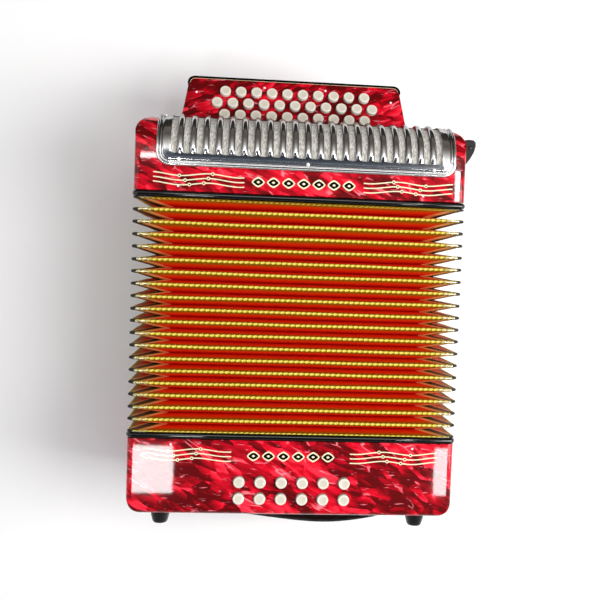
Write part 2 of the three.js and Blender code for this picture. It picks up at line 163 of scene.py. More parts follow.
class Surface(Graph):
    """The node tree of a new material and its one shader."""

    def __init__(self, name):
        self.material = bpy.data.materials.new(name)
        self.material.use_nodes = True
        super().__init__(self.material.node_tree)
        self.shader = self.tree.nodes["Principled BSDF"]

    def set(self, **values):
        self.feed(self.shader, **values)

    def place(self, scale=(1, 1, 1), turn=(0, 0, 0), uv=False):
        source = self.add("ShaderNodeTexCoord").outputs["UV" if uv else "Object"]
        mapping = self.add("ShaderNodeMapping")
        return self.feed(mapping, Vector=source, Scale=scale, Rotation=turn).outputs["Vector"]

    def noise(self, where, scale, detail=3.0, roughness=0.5, distortion=0.0, output="Fac"):
        node = self.add("ShaderNodeTexNoise")
        self.feed(node, Vector=where, Scale=scale, Detail=detail, Roughness=roughness,
                  Distortion=distortion)
        return node.outputs[output]

    def stripes(self, distance, period):
        """A sine over a distance, with its period in millimetres."""
        return self.math("SINE", self.times(distance, 2 * math.pi / (period * MM)))

    def bump(self, height, strength, distance, normal="Normal"):
        node = self.feed(self.add("ShaderNodeBump"), Height=height, Strength=strength, Distance=distance)
        self.put(node.outputs["Normal"], self.shader.inputs[normal])

    def colour(self, socket):
        self.put(socket, self.shader.inputs["Base Color"])

    def roughness(self, factor, low, high):
        node = self.feed(self.add("ShaderNodeMapRange"), Value=factor, To_Min=low, To_Max=high)
        self.put(node.outputs["Result"], self.shader.inputs["Roughness"])


# ---- materials --------------------------------------------------------------------------------
FOLD_DEPTH = 24 * MM
ROPE_PITCH = 5.0
PEARL_STRETCH = (0.62, 1.9, 1.3)


def pearloid(name, turn, level):
    """Crumpled pearl celluloid: broad soft swathes, sharper flakes over them that each shade from
    dark to bright, a few short bright creases, and a polished clear surface over the whole sheet."""
    n = Surface(name)
    turned = n.place(turn=turn)
    where = n.vector("MULTIPLY", turned, PEARL_STRETCH)

    def bent(amount, noise):
        node = n.add("ShaderNodeMix", data_type="VECTOR")
        for value, socket in ((amount, 0), (where, 4), (noise, 5)):
            n.put(value, node.inputs[socket])
        return node.outputs[1]

    def facets(coordinates, scale, softness):
        """Random tone of each cell, and a straight gradient across it in a random direction."""
        cells = n.add("ShaderNodeTexVoronoi", feature="SMOOTH_F1" if softness else "F1")
        n.feed(cells, Vector=coordinates, Scale=scale)
        if softness:
            n.feed(cells, Smoothness=softness)
        offset = n.vector("SUBTRACT", coordinates, cells.outputs["Position"])
        heading = n.vector("SUBTRACT", cells.outputs["Color"], (0.5, 0.5, 0.5))
        parts = n.add("ShaderNodeSeparateColor")
        n.put(cells.outputs["Color"], parts.inputs[0])
        return parts.outputs[0], n.times(n.vector("DOT_PRODUCT", offset, heading), scale * 1.5)

    wide = bent(0.055, n.noise(turned, 9.0, 2.0, output="Color"))
    fine = bent(0.040, n.noise(where, 16.0, 2.0, output="Color"))
    swathe, swathe_slope = facets(wide, 24.0, 0.8)
    flake, flake_slope = facets(fine, 74.0, 0.15)
    chip, chip_slope = facets(wide, 125.0, 0)
    streaks = n.noise(n.place(scale=(1.0, 4.0, 3.0), turn=turn), 45.0, 4.0, 0.55, 0.8)
    tone = n.total((swathe, 0.30), (swathe_slope, 0.34), (flake, 0.30), (flake_slope, 0.46),
                   (n.math("ADD", chip, chip_slope), 0.15), (streaks, 0.24))
    tone = n.math("ADD", tone, level)
    body = n.ramp(tone, [
        (0.27, (0.10, 0.0, 0.001)), (0.37, (0.22, 0.0, 0.003)), (0.47, (0.40, 0.0005, 0.009)),
        (0.58, (0.62, 0.002, 0.016)), (0.73, (0.84, 0.024, 0.050)),
    ])
    seams = n.add("ShaderNodeTexVoronoi", feature="DISTANCE_TO_EDGE")
    n.feed(seams, Vector=fine, Scale=58.0)
    crease = n.ramp(seams.outputs["Distance"], [(0.0, (1, 1, 1)), (0.055, (0, 0, 0))])
    patchy = n.mask(n.noise(where, 60.0, 2.0), 0.50, 0.58)
    lit = n.times(crease, n.mask(flake, 0.50, 0.75))
    body = n.mix(n.times(n.times(lit, patchy), 0.85), body, (0.88, 0.26, 0.31))
    sparks = n.noise(n.place(scale=(1.0, 6.0, 4.0), turn=turn), 85.0, 2.0, 0.5, 0.4)
    n.colour(n.mix(n.times(n.mask(sparks, 0.67, 0.73), 0.75), body, (0.86, 0.20, 0.26)))
    n.roughness(tone, 0.45, 0.30)
    n.bump(tone, 0.12, 0.0012)
    n.bump(n.noise(n.place(), 11.0, 2.0), 0.03, 0.004, "Coat Normal")
    n.set(Coat_Weight=1.0, Coat_Roughness=0.03, Coat_IOR=1.32, Specular_IOR_Level=0.05)
    return n.material


def chrome(name, tint, rough, wear, grooved=False):
    """Bright plate with a faint orange peel, rub marks and tarnish specks. A grooved plate is
    darkened where its mesh says so, as painted shade: in grooves (painted shade and grime), along
    cut edges, and where it turns away (a painted dark reflection)."""
    n = Surface(name)
    where = n.place()
    specks = n.noise(where, 420.0, 6.0, 0.7)
    rubs = n.noise(n.place(scale=(1, 6, 1)), 90.0, 4.0)
    plate = n.ramp(specks, [(0.30, tuple(c * 0.72 for c in tint)), (0.46, tint)])
    if grooved:
        # Painted shade: each point's stored value mixes the plate towards near black in grooves, on cut edges
        # and where the ribs turn away.
        shade_values = n.add("ShaderNodeAttribute", attribute_name="grime_and_painted_shade").outputs["Fac"]
        plate = n.mix(shade_values, plate, (0.022, 0.020, 0.018))
    n.colour(plate)
    n.roughness(rubs, rough, rough + wear)
    n.bump(n.noise(where, 60.0, 3.0), 0.03, 0.0006)
    n.set(Metallic=1.0)
    return n.material


def celluloid(name, base, rough, vary, coat, gloss=0.3):
    """Plain moulded or sheet celluloid: a small change of tone and a polished, slightly worn skin."""
    n = Surface(name)
    where = n.place()
    dark = tuple(c * (1 - vary) for c in base)
    n.colour(n.ramp(n.noise(where, 70.0, 4.0), [(0.32, dark), (0.62, base)]))
    n.roughness(n.noise(where, 260.0, 5.0), rough, rough + 0.16)
    n.bump(n.noise(where, 500.0, 3.0), 0.03, 0.0006)
    n.set(Coat_Weight=coat, Coat_Roughness=0.05, Coat_IOR=1.5, Specular_IOR_Level=gloss)
    return n.material


def leather(name, base, grain=900.0):
    """Grained leather, lighter along its creases."""
    n = Surface(name)
    where = n.place()
    cells = n.add("ShaderNodeTexVoronoi", feature="DISTANCE_TO_EDGE")
    n.feed(cells, Vector=where, Scale=grain)
    creases = n.noise(where, 120.0, 5.0, 0.6)
    light = tuple(min(1.0, c * 2.3 + 0.004) for c in base)
    n.colour(n.ramp(creases, [(0.38, base), (0.72, light)]))
    n.roughness(creases, 0.42, 0.62)
    n.bump(n.math("ADD", cells.outputs["Distance"], creases), 0.35, 0.0005)
    n.set(Specular_IOR_Level=0.25)
    return n.material


def woven_tape(name):
    """Edge tape twisted like a rope: a bright yellow crest with a scalloped edge over mustard
    sides woven in small lozenges. The bright crest is painted highlight and the darker mustard sides are
    painted shade, over the tape's own yellow."""
    n = Surface(name)
    along, across, _ = n.split(n.place(uv=True))
    lean = n.times(across, 0.8)
    rising = n.stripes(n.math("ADD", along, lean), ROPE_PITCH)
    falling = n.stripes(n.math("SUBTRACT", along, lean), ROPE_PITCH)
    diamonds = n.times(rising, falling)
    off_crest = n.math("ABSOLUTE", n.math("SUBTRACT", across, 0.4 * MM))
    reach = n.math("ADD", n.math("DIVIDE", off_crest, 5 * MM), n.times(rising, 0.13))
    reach = n.math("ADD", reach, n.times(n.noise(n.place(), 60.0, 3.0), 0.08))
    # Painted highlight and shade: bright yellow on the crest, darker mustard and brown down the sides.
    yellow = n.ramp(reach, [
        (0.10, (0.80, 0.71, 0.13)), (0.24, (0.52, 0.37, 0.025)), (0.36, (0.20, 0.115, 0.0)),
        (0.70, (0.29, 0.13, 0.0)), (0.95, (0.24, 0.09, 0.0)),
    ])
    dark_share = n.times(n.math("GREATER_THAN", diamonds, 0.25), 0.35)
    n.colour(n.mix(dark_share, yellow, (0.34, 0.17, 0.004)))
    n.bump(n.total((rising, 1.0), (diamonds, 0.4), (n.stripes(along, 0.55), 0.1)), 0.6, 0.0005)
    n.set(Roughness=0.65, Specular_IOR_Level=0.2)
    return n.material


def fold_cloth(name):
    """Covering of the folds: mustard near the tape, red further down and darker in the valleys as painted
    shade.
    Brown leather gussets cover both ends of every face, with a pale cut edge."""
    n = Surface(name)
    along, across, _ = n.split(n.place(uv=True))
    depth = n.math("ABSOLUTE", across)
    blotch = n.noise(n.place(), 38.0, 4.0)
    tone = n.math("ADD", n.math("DIVIDE", depth, FOLD_DEPTH), n.times(blotch, 0.16))
    # Painted shade: the red darkens with depth down towards the valleys.
    cloth = n.ramp(tone, [
        (0.21, (0.30, 0.125, 0.0)), (0.31, (0.46, 0.10, 0.0)), (0.43, (0.68, 0.050, 0.0)),
        (0.62, (0.76, 0.024, 0.001)), (0.84, (0.62, 0.006, 0.001)), (1.0, (0.42, 0.001, 0.0)),
    ])
    reach = n.add("ShaderNodeAttribute", attribute_name="corner_reach").outputs["Fac"]
    edge = n.math("SUBTRACT", n.math("ADD", n.times(depth, 0.10), 5 * MM), reach)
    edge = n.math("ADD", edge, n.times(n.noise(n.place(), 150.0), 1.2 * MM))
    brown = n.ramp(blotch, [(0.35, (0.70, 0.25, 0.035)), (0.65, (0.82, 0.34, 0.07))])
    covered = n.mix(n.math("GREATER_THAN", edge, 0.0), cloth, brown)
    pale = n.math("LESS_THAN", n.math("ABSOLUTE", edge), 0.9 * MM)
    n.colour(n.mix(n.times(pale, 0.8), covered, (0.92, 0.55, 0.38)))
    n.bump(n.times(n.stripes(along, 0.9), n.stripes(across, 0.9)), 0.25, 0.0003)
    n.set(Roughness=0.6, Specular_IOR_Level=0.15)
    return n.material


def grille_cloth(name):
    """Pale open weave with slubs."""
    n = Surface(name)
    along, across, _ = n.split(n.place(uv=True))
    weave = n.total((n.stripes(along, 1.0), 0.6), (n.stripes(across, 0.7), 0.35))
    slub = n.noise(n.place(scale=(3, 1, 1)), 300.0, 4.0)
    n.colour(n.ramp(n.math("ADD", n.times(weave, 0.22), slub), [
        (0.28, (0.17, 0.155, 0.13)), (0.50, (0.58, 0.555, 0.51)), (0.72, (0.88, 0.85, 0.79)),
    ]))
    n.bump(weave, 0.6, 0.0004)
    n.set(Roughness=0.85, Sheen_Weight=0.2)
    return n.material


def timber(name):
    """Straight-grained softwood."""
    n = Surface(name)
    grain = n.add("ShaderNodeTexWave", wave_type="BANDS", bands_direction="Y")
    n.feed(grain, Vector=n.place(scale=(1.0, 9.0, 9.0)), Scale=14.0, Distortion=5.0, Detail=4.0)
    n.colour(n.ramp(grain.outputs["Fac"], [(0.2, (0.42, 0.26, 0.13)), (0.8, (0.66, 0.46, 0.26))]))
    n.bump(grain.outputs["Fac"], 0.2, 0.0003)
    n.set(Roughness=0.6)
    return n.material


def gilding(name):
    """Pale gold inlay, a little worn."""
    n = Surface(name)
    worn = n.noise(n.place(), 700.0, 4.0)
    n.colour(n.ramp(worn, [(0.35, (0.62, 0.54, 0.30)), (0.52, (0.80, 0.75, 0.50))]))
    n.bump(worn, 0.05, 0.0004)
    n.set(Roughness=0.4, Coat_Weight=0.4, Coat_Roughness=0.08)
    return n.material


def matt(name, scale, stops, **values):
    """A plain surface with slow patches."""
    n = Surface(name)
    n.colour(n.ramp(n.noise(n.place(), scale), stops))
    n.set(**values)
    return n.material


RED_FRONT = pearloid("red_pearloid", (0.2, 0.1, 0.45), 0.0)
RED_BOARD = pearloid("red_pearloid_board", (0.5, 0.3, -0.4), -0.07)
CHROME = chrome("bright_chrome", (0.70, 0.70, 0.70), 0.11, 0.07)
GRILLE_CHROME = chrome("grille_chrome", (0.70, 0.70, 0.70), 0.11, 0.07, grooved=True)
NICKEL = chrome("nickel", (0.58, 0.57, 0.55), 0.16, 0.12)
SATIN = chrome("satin_nickel", (0.62, 0.62, 0.60), 0.24, 0.05)
STEEL = chrome("drawn_steel", (0.52, 0.53, 0.55), 0.25, 0.2)
BLACK = celluloid("black_celluloid", (0.0015, 0.001, 0.001), 0.14, 0.3, 1.0, 0.05)
CREAM = celluloid("cream_button", (0.66, 0.63, 0.55), 0.18, 0.06, 0.5)
# Painted shade: a darker copy of the cream for the buttons' dished crowns.
CREAM_CROWN_SHADE = celluloid("cream_button_crown_painted_shade", (0.56, 0.525, 0.435), 0.22, 0.06, 0.5)
RUBBER = celluloid("black_rubber", (0.008, 0.008, 0.008), 0.28, 0.4, 0.3)
LEATHER = leather("black_leather", (0.004, 0.0035, 0.0035))
GUSSET = leather("gusset_leather", (0.055, 0.028, 0.012), 1400.0)
TAPE = woven_tape("edge_tape")
CLOTH = fold_cloth("fold_cloth")
GRILLE_CLOTH = grille_cloth("grille_cloth")
WOOD = timber("reed_wood")
GOLD = gilding("gold_inlay")
FELT = celluloid("pallet_felt", (0.33, 0.05, 0.05), 0.9, 0.3, 0.0)
THREAD = celluloid("waxed_thread", (0.55, 0.50, 0.38), 0.6, 0.3, 0.1)
FLOOR_GREY = matt("pale_floor", 3.0, [(0.3, (0.84, 0.84, 0.845)), (0.7, (0.87, 0.87, 0.87))], Roughness=0.7)
CARD_CLOTH = matt("dark_card_cloth", 40.0, [(0.3, (0.02, 0.018, 0.016)), (0.7, (0.035, 0.03, 0.027))],
                  Roughness=0.9, Specular_IOR_Level=0.1)


# ---- mesh helpers -----------------------------------------------------------------------------
def mesh_object(name, points, faces, uvs=None):
    mesh = bpy.data.meshes.new(name)
    mesh.from_pydata([tuple(p) for p in points], [], [tuple(f) for f in faces])
    if uvs is not None:
        layer = mesh.uv_layers.new(name="UVMap")
        order = np.zeros(len(mesh.loops), np.int32)
        mesh.loops.foreach_get("vertex_index", order)
        layer.data.foreach_set("uv", np.asarray(uvs, np.float32)[order].ravel())
    mesh.update()
    obj = bpy.data.objects.new(name, mesh)
    bpy.context.collection.objects.link(obj)
    return obj


def store_values(obj, name, values):
    """Keeps a number for each point of a mesh, for materials and modifiers to read."""
    store = obj.data.attributes.new(name, "FLOAT", "POINT")
    store.data.foreach_set("value", np.asarray(values, np.float32))


def tidy_normals(obj, merge=1e-6):
    work = bmesh.new()
    work.from_mesh(obj.data)
    bmesh.ops.remove_doubles(work, verts=work.verts, dist=merge)
    bmesh.ops.recalc_face_normals(work, faces=work.faces)
    work.to_mesh(obj.data)
    work.free()
    return obj


def grid(rows, width, start=0):
    """The faces between rows of points, row by row."""
    return [(a, a + 1, a + width + 1, a + width) for r in range(rows - 1)
            for a in range(start + r * width, start + (r + 1) * width - 1)]


def tube(name, loops, closed=False):
    """A skin over equal loops of points, capped at its two ends or closed into a ring."""
    count, turns = len(loops[0]), len(loops)
    faces = []
    for k in range(turns if closed else turns - 1):
        here, there = k * count, (k + 1) % turns * count
        faces += [(here + i, here + (i + 1) % count, there + (i + 1) % count, there + i)
                  for i in range(count)]
    if not closed:
        faces += [tuple(range(count)), tuple(range((turns - 1) * count, turns * count))]
    return tidy_normals(mesh_object(name, [point for loop in loops for point in loop], faces))


def shade(obj, angle=35):
    """Smooth, with edges sharper than the angle kept crisp."""
    obj.data.shade_smooth()
    obj.data.set_sharp_from_angle(angle=math.radians(angle))
    return obj


def apply_modifier(obj, kind, **settings):
    modifier = obj.modifiers.new(kind.lower(), kind)
    for name, value in settings.items():
        setattr(modifier, name, value)
    evaluated = obj.evaluated_get(bpy.context.evaluated_depsgraph_get())
    old = obj.data
    obj.data = bpy.data.meshes.new_from_object(evaluated)
    obj.modifiers.clear()
    bpy.data.meshes.remove(old)
    return obj


def flatten(obj, angle=30):
    """Crisp flat faces beside smooth narrow roundings."""
    return apply_modifier(shade(obj, angle), "WEIGHTED_NORMAL", keep_sharp=True, weight=100)


def bevel(obj, width, segments, angle=50):
    return apply_modifier(obj, "BEVEL", width=width * MM, segments=segments, limit_method="ANGLE",
                          angle_limit=math.radians(angle))


def boolean(obj, other, operation="DIFFERENCE"):
    apply_modifier(obj, "BOOLEAN", operation=operation, object=other, solver="EXACT")
    bpy.data.objects.remove(other)
    return obj


def arc(centre, radius, start, end, steps):
    angles = np.radians(np.linspace(start, end, steps + 1))
    return [(centre[0] + radius * math.cos(a), centre[1] + radius * math.sin(a)) for a in angles]


def rounded_outline(x0, y0, x1, y1, radii, steps=10):
    """Corners in the order low-low, high-low, high-high, low-high."""
    a, b, c, d = (max(r, 1e-5) for r in radii)
    return (arc((x0 + a, y0 + a), a, 180, 270, steps) + arc((x1 - b, y0 + b), b, 270, 360, steps)
            + arc((x1 - c, y1 - c), c, 0, 90, steps) + arc((x0 + d, y1 - d), d, 90, 180, steps))


AXES = {
    "x": lambda a, b, t: (t, a, b),
    "y": lambda a, b, t: (a, t, b),
    "z": lambda a, b, t: (a, b, t),
}


def prism(name, outline, axis, low, high):
    place = AXES[axis]
    count = len(outline)
    points = [place(a, b, low) for a, b in outline] + [place(a, b, high) for a, b in outline]
    faces = [list(range(count)), list(range(count, 2 * count))]
    faces += [(i, (i + 1) % count, count + (i + 1) % count, count + i) for i in range(count)]
    return tidy_normals(mesh_object(name, points, faces), 1e-7)


def lathe(name, profile, place, steps=32):
    """Turns [radius, height] points about the height axis; place maps a local point to the frame."""
    points = []
    faces = []
    rows = len(profile)
    for step in range(steps):
        angle = 2 * math.pi * step / steps
        points += [place @ Vector((r * math.cos(angle), r * math.sin(angle), h)) for r, h in profile]
    for step in range(steps):
        here, there = step * rows, (step + 1) % steps * rows
        faces += [(here + i, there + i, there + i + 1, here + i + 1) for i in range(rows - 1)]
    return shade(tidy_normals(mesh_object(name, points, faces)))


def join(name, objects):
    """Joins objects into one, with each material listed once."""
    work = bmesh.new()
    materials = []
    for obj in objects:
        start = len(work.faces)
        work.from_mesh(obj.data)
        work.faces.ensure_lookup_table()
        for face in work.faces[start:]:
            material = obj.data.materials[face.material_index] if obj.data.materials else None
            if material not in materials:
                materials.append(material)
            face.material_index = materials.index(material)
    mesh = bpy.data.meshes.new(name)
    work.to_mesh(mesh)
    work.free()
    for material in materials:
        mesh.materials.append(material)
    for obj in objects:
        bpy.data.objects.remove(obj)
    joined = bpy.data.objects.new(name, mesh)
    bpy.context.collection.objects.link(joined)
    return joined


def paint(obj, *materials):
    for material in materials:
        obj.data.materials.append(material)
    return obj


def finish_piece(obj, body, slot, *nodes):
    """Makes a piece ride its body and hides the CAD nodes it stands for. Its slot is not used."""
    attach(obj, body)
    if nodes:
        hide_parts(*nodes)
    return obj


ALONG_Z = Matrix.Identity(4)
TOWARDS_BASS = Matrix.Rotation(math.radians(90), 4, "X")


# ---- casings ----------------------------------------------------------------------------------
def casing_body(name, inner_y, end_y, inset, edge_radius):
    """The common part of three rounded outlines, seen from the front, the side and the end."""
    low, high = min(inner_y, end_y), max(inner_y, end_y)
    r, e = CORNER_RADIUS - inset, LONG_EDGE_RADIUS - inset
    front, end = edge_radius - inset, END_EDGE_RADIUS - inset
    x = HALF_WIDTH - inset
    z0, z1 = BACK_Z + inset, FRONT_Z - inset
    treble = end_y > inner_y
    from_front = rounded_outline(-x, low, x, high, (0, 0, r, r) if treble else (r, r, 0, 0))
    from_side = rounded_outline(low, z0, high, z1, (0, end, front, 0) if treble else (end, 0, 0, front), 16)
    from_end = rounded_outline(-x, z0, x, z1, (e, e, e, e), 8)
    body = prism(name, from_front, "z", z0, z1)
    boolean(body, prism("cut", from_side, "x", -x - MM, x + MM), "INTERSECT")
    return boolean(body, prism("cut", from_end, "y", low - MM, high + MM), "INTERSECT")


def drill(name, places, radius, low, high, matrix):
    """One mesh of round cutters, for holes at the given points of a local frame."""
    cutters = [lathe(name, [(0, low), (radius, low), (radius, high), (0, high)],
                     matrix @ Matrix.Translation(Vector((*place, 0))), 24) for place in places]
    return join(name, cutters)


BASS_KEYS = [f"bass_key_{row}_{column}" for row in (1, 2) for column in range(1, 7)]
KEY_RADIUS = 5.4 * MM
HOLE_RADIUS = 6.0 * MM
AIR_HOLE_RADIUS = 5 * MM
air_centre = centre_of("air_button")

bass_end_y, bass_inner_y = bass_low.y, bass_high.y
treble_inner_y, treble_end_y = treble_low.y, treble_high.y

bass_casing = casing_body("bass_casing_shell", bass_inner_y, bass_end_y, 0, END_EDGE_RADIUS)
boolean(bass_casing, casing_body("cut", bass_inner_y + MM, bass_end_y + WALL, WALL, END_EDGE_RADIUS))
boolean(bass_casing, drill("cut", [centre_of(node).xy for node in BASS_KEYS], HOLE_RADIUS,
                           FRONT_Z - 12 * MM, FRONT_Z + 5 * MM, ALONG_Z))
air_frame = Matrix.Translation((air_centre.x, bass_end_y, air_centre.z)) @ TOWARDS_BASS
boolean(bass_casing, drill("cut", [(0, 0)], AIR_HOLE_RADIUS, -8 * MM, 5 * MM, air_frame))
paint(flatten(bass_casing), RED_FRONT)
finish_piece(bass_casing, "bass_end", "pearloid", "bass_casing")

# ---- fingerboard frame: x, along (up the board) and out (off its playing face) ------------------
BOARD_TILT = math.radians(22)
BOARD_MIDDLE = (-5.7 * MM, 197.6 * MM, 119.4 * MM)
board_frame = Matrix.Translation(BOARD_MIDDLE) @ Matrix.Rotation(-BOARD_TILT, 4, "X")
BOARD_THICKNESS = 24 * MM
BOARD_WALL = 3 * MM
BOARD_TOP = 29.6 * MM
BOARD_BOTTOM = -29.5 * MM
BOARD_CORNER = 7 * MM
BOARD_FOOT, BOARD_WAIST, BOARD_HEAD = 118 * MM, 111.5 * MM, 107.5 * MM
HEAD_TAPER = 0.5 * MM
BEND_STEPS = 8
KEY_PITCH = 15.6 * MM
KEY_ROW_PITCH = 13.4 * MM
KEY_ROWS = {1: (10, KEY_ROW_PITCH), 2: (11, 0.0), 3: (10, -KEY_ROW_PITCH)}


def bend(a, b, c):
    """A quadratic curve from a to c, pulled towards b."""
    a, b, c = np.array(a), np.array(b), np.array(c)
    return [tuple((1 - t) ** 2 * a + 2 * t * (1 - t) * b + t * t * c)
            for t in np.linspace(0, 1, BEND_STEPS + 1)[1:]]


def board_outline(inset, bottom):
    """The board's face: rounded at its head, with a shoulder near its foot."""
    top, corner = BOARD_TOP - inset, BOARD_CORNER - inset
    foot, waist, head = BOARD_FOOT - inset, BOARD_WAIST - inset, BOARD_HEAD - inset
    right = [(foot, bottom), (foot, -24 * MM)]
    right += bend(right[-1], (waist + 1 * MM, -18 * MM), (waist, -8 * MM))
    right += [(head, top - corner)]
    right += bend(right[-1], (head - HEAD_TAPER, top), (head - HEAD_TAPER - corner, top))
    left = [(-x, y) for x, y in reversed(right)]
    return right + left


def key_x(count, index):
    return (index - (count - 1) / 2) * KEY_PITCH


def board_prism(name, inset, bottom, low, high):
    piece = prism(name, board_outline(inset, bottom), "z", low, high)
    piece.data.transform(board_frame)
    return piece


treble_casing = casing_body("treble_casing_shell", treble_inner_y, treble_end_y, 0, GRILLE_EDGE_RADIUS)
boolean(treble_casing, casing_body("cut", treble_inner_y - MM, treble_end_y - WALL, WALL, GRILLE_EDGE_RADIUS))
opening = rounded_outline(GRILLE_CENTRE_X - GRILLE_HALF_WIDTH + GRILLE_EDGE, grille_low.y + GRILLE_EDGE,
                          GRILLE_CENTRE_X + GRILLE_HALF_WIDTH - GRILLE_EDGE, treble_end_y + 9 * MM,
                          (6 * MM, 6 * MM, 0, 0))
boolean(treble_casing, prism("cut", opening, "z", 140 * MM, FRONT_Z + 5 * MM))
boolean(treble_casing, board_prism("cut", -GAP, -70 * MM, -BOARD_THICKNESS - GAP, GAP))
paint(flatten(treble_casing), RED_FRONT)
finish_piece(treble_casing, "treble_end", "pearloid", "treble_casing")

board = board_prism("fingerboard_shell", 0, BOARD_BOTTOM, -BOARD_THICKNESS, 0)
bevel(board, 1.2, 3, 60)
boolean(board, board_prism("cut", BOARD_WALL, -31 * MM, BOARD_WALL - BOARD_THICKNESS, -BOARD_WALL))
key_places = [(key_x(count, index), along) for count, along in KEY_ROWS.values() for index in range(count)]
boolean(board, drill("cut", key_places, HOLE_RADIUS, -9 * MM, 5 * MM, board_frame))
paint(flatten(board), RED_BOARD)
finish_piece(board, "treble_end", "pearloid", "fingerboard")


def board_edging(name, outer, inner, top, bottom, material):
    """A strip along the head of the board and round its two corners."""
    outside, inside = board_outline(outer, 0), board_outline(inner, 0)
    # The strip starts and ends below the head's two rounded corners.
    first = BEND_STEPS + 2
    loops = [[board_frame @ Vector((*edge[i], out))
              for edge, out in ((outside, top), (inside, top), (inside, bottom), (outside, bottom))]
             for i in range(first, len(outside) - first)]
    return paint(shade(tube(name, loops), 30), material)


def nail(place, radius):
    """A small domed nail head."""
    profile = [(0, -0.6 * MM), (radius * 0.8, -0.6 * MM), (radius, 0.0), (radius * 0.9, radius * 0.2),
               (radius * 0.6, radius * 0.4), (0, radius * 0.48)]
    return lathe("nail", profile, place, 16)


binding = [board_edging("binding", -1.0 * MM, 1.5 * MM, 0.3 * MM, -24.15 * MM, BLACK),
           board_edging("line", 1.5 * MM, 1.75 * MM, 0.1 * MM, -2 * MM, GOLD)]
finish_piece(join("board_binding", binding), "treble_end", "black_bead")
board_nails = [nail(board_frame @ Matrix.Translation((x * MM, along * MM, 0)), 1.2 * MM)
               for x, along in ((-99, 11.7), (-31, 20.6), (31, 20.9), (98, 10.8))]
finish_piece(paint(join("board_nails", board_nails), NICKEL), "treble_end", "axle_steel")


# ---- bellows frames and their black beads --------------------------------------------------------
FRAME_DEPTH = 26 * MM
BEAD_ROUNDING = 2.0 * MM


def ring_path(inset, radius):
    x = HALF_WIDTH + BEAD_PROUD - inset
    return rounded_outline(-x, inset, x, FRONT_Z + BEAD_PROUD - inset, (radius,) * 4, 8)


def swept_ring(name, profile):
    """Sweeps a closed profile of (inset, y) points round the casing's outline."""
    radius = LONG_EDGE_RADIUS + BEAD_PROUD
    loops = [[(x, y, z) for x, z in ring_path(inset, max(radius - inset, 0.6 * MM))] for inset, y in profile]
    return shade(tube(name, loops, closed=True), 50)


def bellows_frame(name, node, body):
    low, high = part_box(node)
    middle, half = (low.y + high.y) / 2, (high.y - low.y) / 2
    bead = [(BEAD_ROUNDING * (1 - math.cos(a)), middle + (half - 0.2 * MM) * math.sin(a))
            for a in np.radians(np.linspace(-90, 90, 13))]
    profile = [(FRAME_DEPTH, middle - half), (3 * MM, middle - half), *bead,
               (3 * MM, middle + half), (FRAME_DEPTH, middle + half)]
    piece = paint(swept_ring(name, profile), BLACK)
    return finish_piece(piece, body, "black_bead", node)


bellows_frame("bass_frame_bead", "bass_bellows_frame", "bass_end")
bellows_frame("treble_frame_bead", "treble_bellows_frame", "treble_end")

TO_BACK = Matrix.Rotation(math.pi, 4, "X")
TO_LEFT = Matrix.Rotation(-math.pi / 2, 4, "Y")
TO_RIGHT = Matrix.Rotation(math.pi / 2, 4, "Y")


def frame_nails(name, y, body):
    """The nails that hold a casing to its bellows frame, near the black bead."""
    nails = [nail(Matrix.Translation((x * MM, y, z)) @ turn, 1.1 * MM)
             for x in (-115, 115) for z, turn in ((FRONT_Z, ALONG_Z), (BACK_Z, TO_BACK))]
    nails += [nail(Matrix.Translation((side * HALF_WIDTH, y, z * MM)) @ turn, 1.1 * MM)
              for side, turn in ((-1, TO_LEFT), (1, TO_RIGHT)) for z in (36, 146)]
    finish_piece(paint(join(name, nails), NICKEL), body, "axle_steel")


frame_nails("bass_frame_nails", bass_inner_y - 5 * MM, "bass_end")
frame_nails("treble_frame_nails", treble_inner_y + 4.5 * MM, "treble_end")

# ---- bellows -------------------------------------------------------------------------------------
RIDGES = 20
TAPE_DEPTHS = {-1: 5.5 * MM, 1: 10.5 * MM}
FRONT_LEAN = 2.2 * MM
RIDGE_INSET = 0.5 * MM
RIDGE_CUT, VALLEY_CUT = 5 * MM, 8 * MM
SIDE_COLUMNS, CUT_COLUMNS = (48, 28), 2
bellows_start, bellows_end = bellows_low.y, bellows_high.y
half_pitch = (bellows_end - bellows_start) / (2 * RIDGES - 2)


def fold_ring(depth, lift=0.0):
    """Points round the bellows at a depth below the ridges, from corner to corner."""
    inset = RIDGE_INSET + depth - lift
    cut = RIDGE_CUT + (VALLEY_CUT - RIDGE_CUT) * depth / FOLD_DEPTH
    x, z0, z1 = HALF_WIDTH - inset, BACK_Z + inset, FRONT_Z - inset
    corners = [(-x + cut, z0), (x - cut, z0), (x, z0 + cut), (x, z1 - cut),
               (x - cut, z1), (-x + cut, z1), (-x, z1 - cut), (-x, z0 + cut)]
    ring = []
    for k in range(len(corners)):
        count = CUT_COLUMNS if k % 2 else SIDE_COLUMNS[k // 2 % 2]
        a, b = np.array(corners[k]), np.array(corners[(k + 1) % len(corners)])
        ring += [a + (b - a) * step / count for step in range(count)]
    return np.array(ring)


ring_at_ridge = fold_ring(0)
RING_COUNT = len(ring_at_ridge)
FIRST_CORNER, SECOND_CORNER = SIDE_COLUMNS[0], sum(SIDE_COLUMNS) + CUT_COLUMNS
CORNER_STARTS = [half + corner for half in (0, RING_COUNT // 2) for corner in (FIRST_CORNER, SECOND_CORNER)]
CORNER_COLUMNS = [start + step for start in CORNER_STARTS for step in range(CUT_COLUMNS)]
ring_steps = np.linalg.norm(np.roll(ring_at_ridge, -1, axis=0) - ring_at_ridge, axis=1)
ring_distance = np.concatenate([[0], np.cumsum(ring_steps)])
corner_places = [ring_distance[i + step] for step in (0, CUT_COLUMNS) for i in CORNER_STARTS]
corner_reach = [min(min(abs(d - c), ring_distance[-1] - abs(d - c)) for c in corner_places)
                for d in ring_distance[:-1]]
wobble_source = np.random.default_rng(11)


